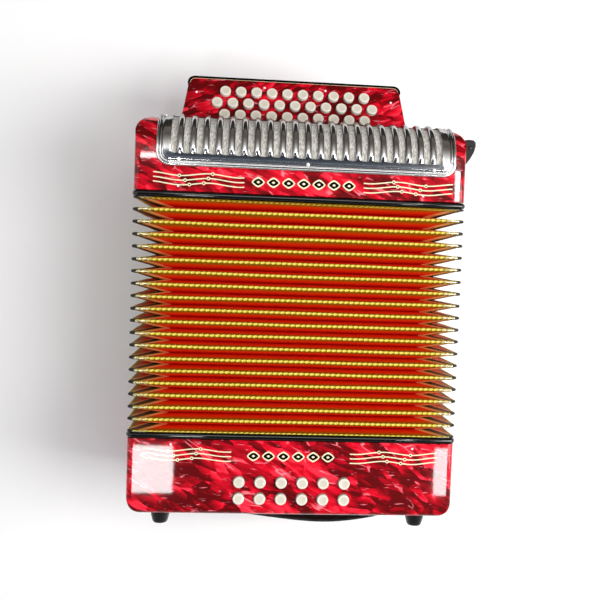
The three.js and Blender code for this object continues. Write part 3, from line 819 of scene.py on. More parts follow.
def smooth_wobble(size):
    """A slow, closed wobble round the ring, so that no fold is ruler straight."""
    angle = 2 * math.pi * np.arange(RING_COUNT) / RING_COUNT
    total = np.zeros(RING_COUNT)
    for harmonic in range(2, 12):
        phase, weight = wobble_source.uniform(0, 2 * math.pi), wobble_source.normal()
        total += weight * np.cos(harmonic * angle + phase) / math.sqrt(harmonic)
    return size * total / 2.4


ridge_wobble = [smooth_wobble(0.35 * MM if 0 < k < RIDGES - 1 else 0.05 * MM) for k in range(RIDGES)]
valley_wobble = [smooth_wobble(0.30 * MM) for _ in range(RIDGES - 1)]
FULL_LENGTH = bellows_end - bellows_start


class Strip:
    """Rows of points round the bellows. Each row has a depth, a y, a lift off the card, the share of
    the joint's travel worked out for it (build reads it back and drops it), and a distance across the strip
    for the texture."""

    def __init__(self, name, first=0, last=None, corner_kind=0):
        columns = range(first, (RING_COUNT if last is None else last) + 1)
        self.name = name
        self.columns = [i % RING_COUNT for i in columns]
        self.along = [ring_distance[i % RING_COUNT] + ring_distance[-1] * (i >= RING_COUNT) for i in columns]
        self.points, self.faces, self.uvs, self.shares, self.kinds, self.reach = [], [], [], [], [], []
        self.corner_kind = corner_kind

    def band(self, rows):
        """rows: (depth, y per column, lift, share, across)."""
        start = len(self.points)
        for depth, ys, lift, share, across in rows:
            ring = fold_ring(depth, lift)
            for along, column in zip(self.along, self.columns):
                x, z = ring[column]
                self.points.append((x, ys[column], z))
                self.uvs.append((along, across))
                self.shares.append(share)
                self.reach.append(corner_reach[column])
        self.faces += grid(len(rows), len(self.columns), start)
        self.kinds += (len(rows) - 1) * [self.corner_kind if column in CORNER_COLUMNS else 0
                                         for column in self.columns[:-1]]

    def build(self, materials, thickness, nodes=()):
        piece = mesh_object(self.name, self.points, self.faces, self.uvs)
        store_values(piece, "share", self.shares)
        store_values(piece, "corner_reach", self.reach)
        paint(piece, *materials)
        piece.data.polygons.foreach_set("material_index", np.asarray(self.kinds, np.int32))
        if thickness:
            apply_modifier(piece, "SOLIDIFY", thickness=thickness, offset=-1.0)
        shade(piece, 40)
        shares = np.zeros(len(piece.data.vertices), np.float32)
        piece.data.attributes["share"].data.foreach_get("value", shares)
        piece.data.attributes.remove(piece.data.attributes["share"])
        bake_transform(piece)
        if nodes:
            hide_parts(*nodes)
        return piece


def ridge_y(k):
    return bellows_start + 2 * k * half_pitch


front_share = np.clip((ring_at_ridge[:, 1] - MIDDLE_Z) / (FRONT_Z - MIDDLE_Z - 2 * MM), 0, 1)


def rest_y(k, valley):
    """The y of each column at ridge k, or at valley k between ridges k and k + 1. The valleys on
    the front sag a little towards the bass end."""
    if valley:
        return ridge_y(k) + half_pitch + valley_wobble[k] - FRONT_LEAN * front_share
    return ridge_y(k) + ridge_wobble[k]


def share_at(y):
    return (y - bellows_start) / FULL_LENGTH


def slope_row(k, side, depth, lift=0.0, shift=0.0):
    """A row on the face that runs from ridge k down to its valley on one side (-1 or 1)."""
    valley = k if side > 0 else k - 1
    part = depth / FOLD_DEPTH
    ys = rest_y(k, False) * (1 - part) + rest_y(valley, True) * part + side * shift
    share = share_at(ridge_y(k)) * (1 - part) + share_at(ridge_y(k) + side * half_pitch) * part
    return depth, ys, lift, share, depth


folds = Strip("bellows_folds", corner_kind=1)
fold_depths = [0.4 * MM, *np.arange(4, 24, 4) * MM, FOLD_DEPTH]
for k in range(RIDGES):
    if k > 0:
        folds.band([slope_row(k, -1, depth) for depth in fold_depths[::-1]])
    if k < RIDGES - 1:
        folds.band([slope_row(k, 1, depth) for depth in fold_depths])
folds.build([CLOTH, GUSSET], 0.8 * MM, ["bellows"])


# The last ridge sits against the treble bead, so the painted highlight of its crest is moved out to the
# front, and its tape reaches further down.
LAST_CREST_ROLL = 3 * MM
LAST_TAPE_STRETCH = 1.45


def wrap_rows(k, depths, lift, shift, half_crest, angles, crest_lift):
    """Rows of a strip folded over ridge k, from its depth on one face to its depth on the other."""
    crest = rest_y(k, False)
    share = share_at(ridge_y(k))
    first, last = k == 0, k == RIDGES - 1
    roll, stretch = (LAST_CREST_ROLL, LAST_TAPE_STRETCH) if last else (0.0, 1.0)
    rows = []
    if not first:
        rows += [(*slope_row(k, -1, depth * stretch, lift, shift)[:4], roll - depth)
                 for depth in depths[-1][::-1]]
    for angle in angles:
        if (angle < 0 and first) or (angle > 0 and last):
            continue
        turn = math.radians(angle)
        rows.append((half_crest * (1 - math.cos(turn)), crest + half_crest * math.sin(turn), crest_lift,
                     share, half_crest * turn + roll))
    if not last:
        rows += [(*slope_row(k, 1, depth, lift, shift)[:4], depth) for depth in depths[1]]
    return rows


TAPE_ANGLES = (-75, -45, -15, 15, 45, 75)
tape = Strip("bellows_edge_tape")
tape_rows = {side: [2.4 * MM, reach * 0.5 + 1.2 * MM, reach] for side, reach in TAPE_DEPTHS.items()}
for k in range(RIDGES):
    tape.band(wrap_rows(k, tape_rows, 0.15 * MM, 0.45 * MM, 1.15 * MM, TAPE_ANGLES, 0.35 * MM))
tape.build([TAPE], 0.3 * MM)


def corner_strip(name, extra, depths, sizes, material):
    """One strip over every ridge corner and some columns beside it, joined in one piece. Sizes are
    the lift and shift of its faces, and the half width and lift of its crest."""
    lift, shift, half_crest, crest_lift = (size * MM for size in sizes)
    rows = {side: [depth * MM for depth in depths] for side in (-1, 1)}
    whole = Strip(name)
    for corner in CORNER_STARTS:
        part = Strip("corner", corner - extra, corner + CUT_COLUMNS + extra)
        for k in range(RIDGES):
            part.band(wrap_rows(k, rows, lift, shift, half_crest, (-80, -40, 0, 40, 80), crest_lift))
        offset = len(whole.points)
        whole.points += part.points
        whole.uvs += part.uvs
        whole.shares += part.shares
        whole.kinds += part.kinds
        whole.reach += part.reach
        whole.faces += [tuple(i + offset for i in face) for face in part.faces]
    return whole.build([material], 0.3 * MM)


# Metal channels clamp the edge tape beside every ridge corner, and black leather wraps the corner
# itself, over the ends of the channels.
corner_strip("bellows_corners", 2, (1.4, 2.4), (0.30, 0.55, 0.85, 0.40), SATIN)
corner_strip("bellows_corner_leathers", 0, (1.5, 3.2), (0.45, 0.65, 1.25, 0.75), LEATHER)


# ---- grille --------------------------------------------------------------------------------------
SLOTS = 22
SLOT_PITCH = 11.85 * MM
SLOT_HALF = 2.85 * MM
ARC_LENGTH = GRILLE_EDGE_RADIUS * math.pi / 2
FLAT_LENGTH = treble_end_y - GRILLE_EDGE_RADIUS - grille_low.y
GRILLE_REAR_Z = 139 * MM
REAR_LENGTH = FRONT_Z - GRILLE_EDGE_RADIUS - GRILLE_REAR_Z
PATH_LENGTH = FLAT_LENGTH + ARC_LENGTH + REAR_LENGTH


def over_edge(s, height):
    """The point a path length s up the casing's front and over its edge, lifted by a height."""
    centre_y, centre_z = treble_end_y - GRILLE_EDGE_RADIUS, FRONT_Z - GRILLE_EDGE_RADIUS
    if s <= FLAT_LENGTH:
        return grille_low.y + s, FRONT_Z + height
    angle = (s - FLAT_LENGTH) / GRILLE_EDGE_RADIUS
    if angle <= math.pi / 2:
        radius = GRILLE_EDGE_RADIUS + height
        return centre_y + radius * math.sin(angle), centre_z + radius * math.cos(angle)
    return treble_end_y + height, centre_z - (s - FLAT_LENGTH - ARC_LENGTH)


def corner_radius(s):
    """The grille's outline has wide corners on the front and narrow ones behind the edge."""
    return 13 * MM if s < PATH_LENGTH / 2 else 6 * MM


def edge_distance(x, s):
    """Distance inside the grille's rounded outline."""
    radius = corner_radius(s)
    dx, dy = GRILLE_HALF_WIDTH - abs(x), min(s, PATH_LENGTH - s)
    if dx < radius and dy < radius:
        return radius - math.hypot(radius - dx, radius - dy)
    return min(dx, dy)


# Height of the plate by distance inside its outline, in millimetres: a rolled rim, a groove, a bead
# and the field.
FRAME_PROFILE = [(0.0, 0.35), (0.25, 1.3), (0.7, 2.1), (1.3, 2.6), (1.9, 2.65), (2.5, 2.3), (3.0, 1.5),
                 (3.3, 1.05), (3.6, 1.4), (4.1, 2.1), (4.6, 2.35), (5.1, 2.1), (5.5, 1.55), (5.8, 1.5),
                 (6.4, 1.95), (7.4, 2.15), (9.0, 2.25), (11.0, 2.5), (13.0, 2.7), (200.0, 2.7)]
profile_d, profile_h = (np.array(v) * MM for v in zip(*FRAME_PROFILE))
SLOT_START, SLOT_END = 12.0 * MM, PATH_LENGTH - 5.5 * MM
SLOT_ROUNDING = 1.1 * MM
SIDE_STEPS = 34
RIB_STEPS = 8
RIB_CROWN = 1.25 * MM
RIB_SHOULDER = 1.3 * MM


def slot_half_width(s):
    """The slots are straight, with rounded ends."""
    near = min(s - SLOT_START, SLOT_END - s)
    if near <= 0:
        return 0.0
    return SLOT_HALF * math.sqrt(1 - (1 - min(near / SLOT_ROUNDING, 1)) ** 2)


def grille_columns(s):
    """x of every column at path length s, and how far each is across its rib (-1 to 1)."""
    w = slot_half_width(s)
    centres = [(k - (SLOTS - 1) / 2) * SLOT_PITCH for k in range(SLOTS)]
    margin = GRILLE_HALF_WIDTH - centres[-1]
    side = [centres[-1] + w + (margin - w) * step / SIDE_STEPS for step in range(SIDE_STEPS + 1)]
    columns = [(-x, None) for x in side[::-1]]
    for low, high in zip(centres, centres[1:]):
        low, high = low + w, high - w
        columns += [(low + (high - low) * step / RIB_STEPS, 2 * step / RIB_STEPS - 1)
                    for step in range(RIB_STEPS + 1)]
    return columns + [(x, None) for x in side]


def grille_height(x, s, across):
    """Height of the plate: the frame's profile, with the ribs swelling out of the field."""
    height = float(np.interp(edge_distance(x, s), profile_d, profile_h))
    if across is not None:
        inside = min(s - SLOT_START + 1 * MM, SLOT_END + 2 * MM - s) / (6 * MM)
        swell = max(0.0, min(1.0, inside))
        swell = swell * swell * (3 - 2 * swell)
        height += swell * (RIB_CROWN * math.sqrt(1 - 0.96 * across ** 2) - RIB_SHOULDER * across ** 4)
    return height


def grime_and_painted_shade(x, s, across):
    """Painted shade on the plate, from 0 to 1: 1 in the frame's groove (painted shade and grime) and on
    the ribs' cut edges, less where the ribs run down into the plate, and a painted dark reflection where they
    turn away."""
    depth = edge_distance(x, s) / MM
    rim_groove, bead_groove = 1 - abs(depth - 3.3) / 0.45, 0.8 - abs(depth - 5.7) / 0.5
    groove = max(0.0, rim_groove, bead_groove)
    # Painted dark reflection: the ribs darken as they turn away towards the rear.
    turned_away = min(1.0, max(0.0, (s / MM - 46) / 12)) * 0.85
    cut = 0.0
    if across is not None and SLOT_START + 2 * MM < s < SLOT_END:
        cut = max(0.0, (-across - 0.72) / 0.2, (across - 0.86) / 0.12)
    if across is not None:
        cut = max(cut, 0.75 * (1 - abs(s - SLOT_START - 1 * MM) / (4.5 * MM)))
    return min(1.0, max(groove, turned_away, cut))


def pulled_in(x, s):
    """x of a side column, moved in to the outline where a corner rounds it off."""
    radius = corner_radius(s)
    dy = min(s, PATH_LENGTH - s)
    straight = GRILLE_HALF_WIDTH - radius
    if abs(x) <= straight or dy >= radius:
        return x
    limit = math.sqrt(max(0.0, radius ** 2 - (radius - dy) ** 2))
    return math.copysign(straight + (abs(x) - straight) / radius * limit, x)


# Rows along the plate, closest together over the frame and the ends of the ribs.
path_rows = sorted({round(v, 7) for start, end, count in (
    (0, 9 * MM, 26), (9 * MM, 18 * MM, 46), (18 * MM, PATH_LENGTH - 9 * MM, 44),
    (PATH_LENGTH - 9 * MM, PATH_LENGTH, 26)) for v in np.linspace(start, end, count)})
points, uvs, shade_values = [], [], []
for s in path_rows:
    for x, across in grille_columns(s):
        x = pulled_in(x, s) if across is None else x
        y, z = over_edge(s, grille_height(x, s, across))
        points.append((GRILLE_CENTRE_X + x, y, z))
        uvs.append((x, s))
        shade_values.append(grime_and_painted_shade(x, s, across))
width = len(grille_columns(0))


def is_slot(column):
    """The columns on both sides of a slot are one step apart, and the step is left open."""
    return SIDE_STEPS <= column < width - SIDE_STEPS - 1 and (column - SIDE_STEPS) % (RIB_STEPS + 1) == 0


faces = [face for face in grid(len(path_rows), width) if not is_slot(face[0] % width)]
grille = mesh_object("grille_pressing", points, faces, uvs)
store_values(grille, "grime_and_painted_shade", shade_values)
tidy_normals(grille, 2e-6)
apply_modifier(grille, "SOLIDIFY", thickness=0.7 * MM, offset=-1.0)
paint(shade(grille, 45), GRILLE_CHROME)
finish_piece(grille, "treble_end", "grille_chrome", "grille")

# The cloth is stretched behind the slots, just under the pressing.
CLOTH_ROWS, CLOTH_COLUMNS = 60, 120
cloth_rows = np.linspace(GRILLE_EDGE, PATH_LENGTH - 3 * MM, CLOTH_ROWS)
cloth_half = GRILLE_HALF_WIDTH - GRILLE_EDGE
points, uvs = [], []
for s in cloth_rows:
    for x in np.linspace(-cloth_half, cloth_half, CLOTH_COLUMNS):
        sag = 0.15 * MM * math.cos(2 * math.pi * x / SLOT_PITCH)
        y, z = over_edge(s, 0.9 * MM + sag)
        points.append((GRILLE_CENTRE_X + x, y, z))
        uvs.append((x, s))
cloth = mesh_object("grille_cloth", points, grid(CLOTH_ROWS, CLOTH_COLUMNS), uvs)
cloth.data.shade_smooth()
paint(cloth, GRILLE_CLOTH)
finish_piece(cloth, "treble_end", "grille_chrome")


def on_grille(x, s):
    """A frame on the grille at a place across and along it, with Z out of the metal."""
    y, z = over_edge(s, 2.3 * MM)
    tilt = min(max(0.0, (s - FLAT_LENGTH) / GRILLE_EDGE_RADIUS), math.pi / 2)
    return Matrix.Translation((GRILLE_CENTRE_X + x, y, z)) @ Matrix.Rotation(-tilt, 4, "X")


def screw(place, radius, slot_turn):
    """A round-headed screw with a cut slot."""
    r = radius
    profile = [(0, -1.0 * MM), (r * 0.5, -1.0 * MM), (r, 0), (r * 0.96, r * 0.18), (r * 0.72, r * 0.42),
               (r * 0.4, r * 0.55), (0, r * 0.6)]
    head = lathe("screw", profile, place, 24)
    length, half = r * 1.2, r * 0.13
    slot = [(-length, -half), (length, -half), (length, half), (-length, half)]
    cutter = prism("cut", slot, "z", r * 0.25, r)
    cutter.data.transform(place @ Matrix.Rotation(slot_turn, 4, "Z"))
    return boolean(head, cutter)


GRILLE_SCREWS = ((-119.5, 6.6, 0.4), (0, 6.6, 1.2), (119.5, 6.6, 2.3), (-134.5, 58, 0.9), (134.5, 58, 2.0))
grille_screws = [screw(on_grille(x * MM, s * MM), 1.7 * MM, turn) for x, s, turn in GRILLE_SCREWS]
finish_piece(paint(join("grille_screws", grille_screws), NICKEL), "treble_end", "grille_chrome")

# ---- keys ----------------------------------------------------------------------------------------
RIM_RADIUS = 0.9 * MM
DISH_DEPTH = 0.28 * MM
TREBLE_PROUD, TREBLE_SKIRT = 3.2 * MM, -4 * MM
BASS_PROUD = 4.2 * MM


def button_profile(radius, skirt, top):
    """A turned button: rounded rim and a shallow dish in its crown."""
    rim = [(radius - RIM_RADIUS * (1 - math.sin(a)), top - RIM_RADIUS * (1 - math.cos(a)))
           for a in np.radians((90, 70, 50, 30, 10, -10, -25))]
    dish = [(radius * share, top - DISH_DEPTH * (1 - (share / 0.72) ** 2))
            for share in (0.62, 0.45, 0.25, 0.0)]
    return [(0, skirt), (radius - 0.3 * MM, skirt), (radius, skirt + 0.3 * MM), *rim, *dish]


def key_button(name, profile, place, top):
    """A cream button whose dished crown is painted a shade darker than its rim, as painted shade in the dish.
    """
    button = paint(lathe(name, profile, place, 36), CREAM, CREAM_CROWN_SHADE)
    back = place.inverted()
    for face in button.data.polygons:
        centre = back @ face.center
        if centre.xy.length < 0.66 * KEY_RADIUS and centre.z > top - 0.6 * MM:
            face.material_index = 1
    return button


# Each row's levers have their own lane beside the button, and its pallets their own height.
LANES = {1: (-3 * MM, 171 * MM), 2: (0.0, 159 * MM), 3: (3 * MM, 147 * MM)}
SOUNDBOARD_TOP = 141 * MM
PALLET_LOW, PALLET_MIDDLE, PALLET_TOP = (SOUNDBOARD_TOP + height * MM for height in (0.3, 1.7, 4.3))
PIVOT_ALONG = -37 * MM
pivot = board_frame @ Vector((0, PIVOT_ALONG, -1.5 * MM))
AXLE_HOLE = 2.0 * MM


def lever_mesh(row):
    """A flat lever down the inside of the board, over the axle and out to the pallet."""
    along, (_, pallet_z) = KEY_ROWS[row][1], LANES[row]

    def on_board(a, out):
        point = board_frame @ Vector((0, a, out))
        return point.y, point.z

    arm = SOUNDBOARD_TOP + 13 * MM
    head = SOUNDBOARD_TOP + 3.3 * MM
    deep = -13 * MM
    outline = [
        on_board(along + 1.5 * MM, -3 * MM), on_board(along - 2.5 * MM, -3 * MM),
        on_board(along - 2.5 * MM, -9 * MM), on_board(PIVOT_ALONG + 5.5 * MM, -9 * MM),
        on_board(PIVOT_ALONG + 4 * MM, -3 * MM),
        (pivot.y + 3.2 * MM, pivot.z + 2.6 * MM), (pivot.y - 0.5 * MM, pivot.z + 4.2 * MM),
        (arm, pallet_z + 1.6 * MM), (head, pallet_z + 1.6 * MM), (head, pallet_z - 1.6 * MM),
        (arm - 3.5 * MM, pallet_z - 1.6 * MM), (pivot.y - 4.2 * MM, pivot.z),
        on_board(PIVOT_ALONG, -8 * MM), on_board(PIVOT_ALONG + 3 * MM, deep),
        on_board(along + 1.5 * MM, deep),
    ]
    lever = prism("lever", outline, "x", -0.9 * MM, 0.9 * MM)
    place = Matrix.Translation((0, pivot.y, pivot.z)) @ Matrix.Rotation(math.radians(90), 4, "Y")
    boolean(lever, drill("cut", [(0, 0)], AXLE_HOLE, -3 * MM, 3 * MM, place))
    return shade(paint(bevel(lever, 0.25, 2), STEEL))


def pallet_mesh(row):
    """A wooden pad faced with felt."""
    z = LANES[row][1]
    layers = []
    for low, high, half_x, half_z, material in ((PALLET_LOW, PALLET_MIDDLE, 6 * MM, 4.25 * MM, FELT),
                                                (PALLET_MIDDLE, PALLET_TOP, 5.7 * MM, 3.95 * MM, WOOD)):
        outline = rounded_outline(-half_x, z - half_z, half_x, z + half_z, (0.8 * MM,) * 4, 4)
        layers.append(paint(prism("layer", outline, "y", low, high), material))
    return join("pallet", layers)


lever_of_row = {row: lever_mesh(row) for row in KEY_ROWS}
pallet_of_row = {row: pallet_mesh(row) for row in KEY_ROWS}


def copy_at(source, x):
    mesh = source.data.copy()
    mesh.transform(Matrix.Translation((x, 0, 0)))
    obj = bpy.data.objects.new("copy", mesh)
    bpy.context.collection.objects.link(obj)
    return obj


def treble_key(row, index):
    """A button, a lever and a pallet in one rigid piece."""
    node = f"treble_key_{row}_{index + 1:02d}"
    count, along = KEY_ROWS[row]
    x = key_x(count, index)
    place = board_frame @ Matrix.Translation((x, along, 0))
    centre = board_frame.translation.x + x
    profile = button_profile(KEY_RADIUS, TREBLE_SKIRT, TREBLE_PROUD)
    button = key_button("button", profile, place, TREBLE_PROUD)
    lever = copy_at(lever_of_row[row], centre + LANES[row][0])
    key = join(f"{node}_body", [button, lever, copy_at(pallet_of_row[row], centre)])
    finish_piece(key, node, "key_cream", node)


for row, (count, _) in KEY_ROWS.items():
    for index in range(count):
        treble_key(row, index)
for source in (*lever_of_row.values(), *pallet_of_row.values()):
    bpy.data.objects.remove(source)

# A bass key is a button with a collar under the casing's front, on a thin stem.
STEM_RADIUS, STEM_END = 2 * MM, -24.3 * MM
COLLAR_RADIUS, COLLAR_TOP = KEY_RADIUS + 1.4 * MM, -WALL - GAP
COLLAR_BOTTOM = COLLAR_TOP - 1.6 * MM
bass_profile = [(0, STEM_END), (STEM_RADIUS, STEM_END), (STEM_RADIUS, COLLAR_BOTTOM),
                (COLLAR_RADIUS, COLLAR_BOTTOM), (COLLAR_RADIUS, COLLAR_TOP),
                *button_profile(KEY_RADIUS, COLLAR_TOP, BASS_PROUD)[1:]]
for node in BASS_KEYS:
    place = Matrix.Translation((*centre_of(node).xy, FRONT_Z))
    finish_piece(key_button(f"{node}_button", bass_profile, place, BASS_PROUD), node, "key_cream", node)

# ---- air button, feet ------------------------------------------------------------------------------
def turned_piece(name, profile, place, steps):
    """A lathe from a profile in millimetres."""
    return lathe(name, [(r * MM, h * MM) for r, h in profile], place, steps)


AIR_PROFILE = [(0, -16), (2, -16), (2, -3), (4.4, -3), (4.4, 5.2), (7.4, 5.2), (7.9, 5.5), (8.0, 6.0),
               (7.6, 6.6), (6.8, 6.95), (5.5, 7.0), (3.5, 6.75), (0, 6.6)]
FOOT_PROFILE = [(0, 0.3), (9.5, 0.3), (9.8, 1.0), (9.7, 2.4), (9.2, 5.0), (8.5, 8.0), (7.7, 11.0), (7.2, 12.6),
                (6.4, 13.7), (5.4, 14.0), (3.4, 14.0), (3.2, 13.0), (0, 13.0)]
FOOT_SCREW_PROFILE = [(0, 12.6), (3.0, 12.6), (2.8, 13.3), (1.6, 13.8), (0, 13.9)]
air = turned_piece("air_button_cap", AIR_PROFILE, air_frame, 40)
finish_piece(paint(air, CHROME), "air_button", "grille_chrome", "air_button")
for node in [f"foot_{end}_{side}" for end in ("front", "back") for side in ("left", "right")]:
    centre = centre_of(node)
    place = Matrix.Translation((centre.x, bass_end_y, centre.z)) @ TOWARDS_BASS
    foot = paint(turned_piece("foot", FOOT_PROFILE, place, 40), RUBBER)
    foot_screw = paint(turned_piece("screw", FOOT_SCREW_PROFILE, place, 24), NICKEL)
    finish_piece(join(f"{node}_rubber", [foot, foot_screw]), "bass_end", "foot_rubber", node)

# ---- hand strap -------------------------------------------------------------------------------------
STRAP_THICKNESS = 3 * MM
STRAP_ROUTE = [(-137, 0), (-124, 0), (-96, 6), (-40, 15.5), (38, 23), (98, 15.5), (119, 6), (131, 0), (137, 0)]
STRAP_HALF_LENGTH = 137 * MM
STITCH_LINE = 0.835
strap_middle_y = bass_end_y - GAP - STRAP_THICKNESS / 2
strap_middle_z = (strap_low.z + strap_high.z) / 2
strap_half_width = (strap_high.z - strap_low.z) / 2


def smooth_route(points, steps):
    """Points along a smooth curve through the given ones."""
    ends = [points[0], *points, points[-1]]
    samples = []
    for k in range(1, len(ends) - 2):
        a, b, c, d = (np.array(q, float) for q in ends[k - 1:k + 3])
        for t in np.linspace(0, 1, steps, endpoint=False):
            samples.append(0.5 * (2 * b + (c - a) * t + (2 * a - 5 * b + 4 * c - d) * t ** 2
                                  + (3 * b - 3 * c + d - a) * t ** 3))
    samples.append(np.array(points[-1], float))
    return np.array(samples) * MM


strap_line = smooth_route(STRAP_ROUTE, 12)
strap_line[:, 1] = strap_middle_y - np.maximum(strap_line[:, 1], 0)
strap_heading = np.gradient(strap_line, axis=0)
strap_heading /= np.linalg.norm(strap_heading, axis=1)[:, None]
strap_out = np.stack([strap_heading[:, 1], -strap_heading[:, 0]], axis=1)


def strap_width_at(x):
    """The strap narrows a little towards its two ends."""
    near_end = min(1.0, (STRAP_HALF_LENGTH - abs(x)) / (60 * MM))
    return strap_half_width * (0.80 + 0.20 * math.sin(near_end * math.pi / 2))


def strap_point(step, across, out):
    x, y = strap_line[step] + strap_out[step] * out
    return x, y, strap_middle_z + across


# Half of the strap's padded top, from its edge over the sunk stitch line to the middle.
STRAP_TOP = [(1.00, 0.0), (0.99, 0.8), (0.965, 1.35), (0.92, 1.5), (0.86, 1.45), (STITCH_LINE, 1.12),
             (0.81, 1.45), (0.72, 1.75), (0.45, 2.0), (0.0, 2.1)]
STRAP_UNDERSIDE = [(-0.99, -1.1), (-0.96, -1.5), (0.96, -1.5), (0.99, -1.1)]
section = STRAP_TOP + [(-share, out) for share, out in STRAP_TOP[-2::-1]] + STRAP_UNDERSIDE
loops = [[strap_point(step, share * strap_width_at(x), out * MM) for share, out in section]
         for step, (x, _) in enumerate(strap_line)]
strap = paint(shade(tube("strap_band", loops), 50), LEATHER)

STITCH_PROFILE = [(0, -0.5), (0.28, -0.35), (0.34, 0), (0.28, 0.35), (0, 0.5)]
stitches = []
for side in (-1, 1):
    for step in range(6, len(strap_line) - 6):
        for part in (0.25, 0.75):
            x, y = strap_line[step] * (1 - part) + strap_line[step + 1] * part
            out, heading = Vector((*strap_out[step], 0)), Vector((*strap_heading[step], 0))
            across = side * STITCH_LINE * strap_width_at(x)
            place = Matrix((heading.cross(out), out, heading)).transposed().to_4x4()
            place.translation = Vector((x, y, strap_middle_z + across)) + out * 1.25 * MM
            stitches.append(turned_piece("stitch", STITCH_PROFILE, place, 6))
strap = join("hand_strap_leather", [strap, paint(join("stitches", stitches), THREAD)])
finish_piece(strap, "bass_end", "strap_leather", "hand_strap")

PLATE_X, PLATE_HALF_WIDTH, PLATE_HALF_HEIGHT = 130 * MM, 5 * MM, 21 * MM
PLATE_THICKNESS = 1.2 * MM
plates = []
for x in (-PLATE_X, PLATE_X):
    outline = rounded_outline(x - PLATE_HALF_WIDTH, strap_middle_z - PLATE_HALF_HEIGHT, x + PLATE_HALF_WIDTH,
                              strap_middle_z + PLATE_HALF_HEIGHT, (2.5 * MM,) * 4, 6)
    plate_y = bass_end_y - GAP - STRAP_THICKNESS - 0.5 * MM
    plate = prism("plate", outline, "y", plate_y - PLATE_THICKNESS, plate_y)
    plates.append(flatten(bevel(plate, 0.4, 3), 40))
    for z, turn in ((-14, 0.6), (14, 2.0)):
        place = Matrix.Translation((x, plate_y - PLATE_THICKNESS, strap_middle_z + z * MM)) @ TOWARDS_BASS
        plates.append(screw(place, 2.4 * MM, turn))
finish_piece(paint(join("strap_end_plates", plates), NICKEL), "bass_end", "axle_steel")

# ---- strap bracket on the treble cheek -----------------------------------------------------------------
BRACKET_OUTLINE = [(148, 141), (156.5, 140.0), (159.5, 142.0), (163.5, 147.5), (167, 154), (168.5, 160),
                   (168.2, 163.5), (166, 165.7), (161, 166), (154, 164.5), (146, 162)]
BRACKET_LOW, BRACKET_TOP = 146 * MM, 166 * MM
bracket = prism("bracket", [(x * MM, y * MM) for x, y in BRACKET_OUTLINE], "z", BRACKET_LOW, BRACKET_TOP)
bevel(bracket, 1.6, 4)
rivet = nail(Matrix.Translation((162.5 * MM, 158 * MM, BRACKET_TOP)), 1.8 * MM)
bracket = join("strap_bracket", [paint(flatten(bracket, 40), LEATHER), paint(rivet, RUBBER)])
finish_piece(bracket, "treble_end", "strap_leather")

# ---- inlaid ornament -----------------------------------------------------------------------------------
LINE_PROUD = 0.12 * MM
SUNK_Z = FRONT_Z - 0.2 * MM


def ribbon(path, half_width):
    """A thin raised line through points on the front face."""
    heading = np.gradient(path, axis=0)
    heading /= np.linalg.norm(heading, axis=1)[:, None]
    side = np.stack([-heading[:, 1], heading[:, 0]], axis=1)
    top = FRONT_Z + LINE_PROUD
    loops = [[(*(centre + across * offset * half_width), z)
              for offset, z in ((-1, SUNK_Z), (-0.85, top), (0.85, top), (1, SUNK_Z))]
             for centre, across in zip(path, side)]
    return shade(tube("ribbon", loops), 30)


def disc(centre, radius, proud):
    return prism("disc", arc(centre, radius, 0, 342, 19), "z", SUNK_Z, FRONT_Z + proud)


LOZENGE_BOW = 1.35
WAVE_POINTS = 64


def lozenge(centre, half_width, half_height, proud):
    """A lozenge with bowed sides and blunt points."""
    outline = []
    for a in np.linspace(0, 2 * math.pi, 32, endpoint=False):
        reach = (abs(math.cos(a)) ** LOZENGE_BOW + abs(math.sin(a)) ** LOZENGE_BOW) ** (-1 / LOZENGE_BOW)
        outline.append((centre[0] + half_width * reach * math.cos(a),
                        centre[1] + half_height * reach * math.sin(a)))
    return prism("lozenge", outline, "z", SUNK_Z, FRONT_Z + proud)


def wave_lines(x0, x1, ys, mirrored):
    """Three parallel waving lines with a small ring on each, one further along than the next."""
    parts = []
    for k, y in enumerate(ys):
        xs = np.linspace(x0, x1, WAVE_POINTS)
        share = (xs - x0) / (x1 - x0)
        phase = (1 - share) if mirrored else share
        heights = y + 1.3 * np.cos(phase * 2 * math.pi * 1.55 + 0.3)
        path = np.stack([xs, heights], axis=1) * MM
        parts.append(paint(ribbon(path, 0.6 * MM), GOLD))
        for at in (0.30 + 0.05 * k, 0.66 - 0.05 * k):
            index = int((1 - at if mirrored else at) * (WAVE_POINTS - 1))
            parts.append(paint(disc(path[index], 1.65 * MM, 0.15 * MM), GOLD))
            parts.append(paint(disc(path[index], 0.75 * MM, 0.2 * MM), BLACK))
    return parts


LOZENGE_PITCH = 14.2
LOZENGE_LAYERS = ((6.106, 4.9, 0.12, GOLD), (4.756, 3.3, 0.18, BLACK), (1.5, 1.1, 0.22, GOLD))


def ornament(name, body, left, right, ys, chain, count):
    """A chain of lozenges between two groups of waving lines."""
    parts = wave_lines(*left, ys, False) + wave_lines(*right, ys, True)
    for k in range(count):
        centre = ((chain[0] + (k - (count - 1) / 2) * LOZENGE_PITCH) * MM, chain[1] * MM)
        for half_width, half_height, proud, material in LOZENGE_LAYERS:
            parts.append(paint(lozenge(centre, half_width * MM, half_height * MM, proud * MM), material))
    finish_piece(join(name, parts), body, "key_cream")


ornament("treble_ornament", "treble_end", (-138, -54), (58, 143), (118.9, 114.6, 110.3), (1.5, 114.6), 7)
ornament("bass_ornament", "bass_end", (-141, -58), (55, 139), (-138.6, -143.0, -147.4), (-1.5, -143.2), 6)

# ---- CAD nodes that stay -------------------------------------------------------------------------
for node, material in (("bass_action_board", WOOD), ("treble_action_board", WOOD), ("treble_reed_block", WOOD),
                       ("treble_key_axle", STEEL)):
    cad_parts[node].data.materials.clear()
    paint(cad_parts[node], material)

# ---- floor, light and camera -----------------------------------------------------------------------
floor = mesh_object("floor", [(-3, -3, 0), (3, -3, 0), (3, 3, 0), (-3, 3, 0)], [(0, 1, 2, 3)])
paint(floor, FLOOR_GREY)


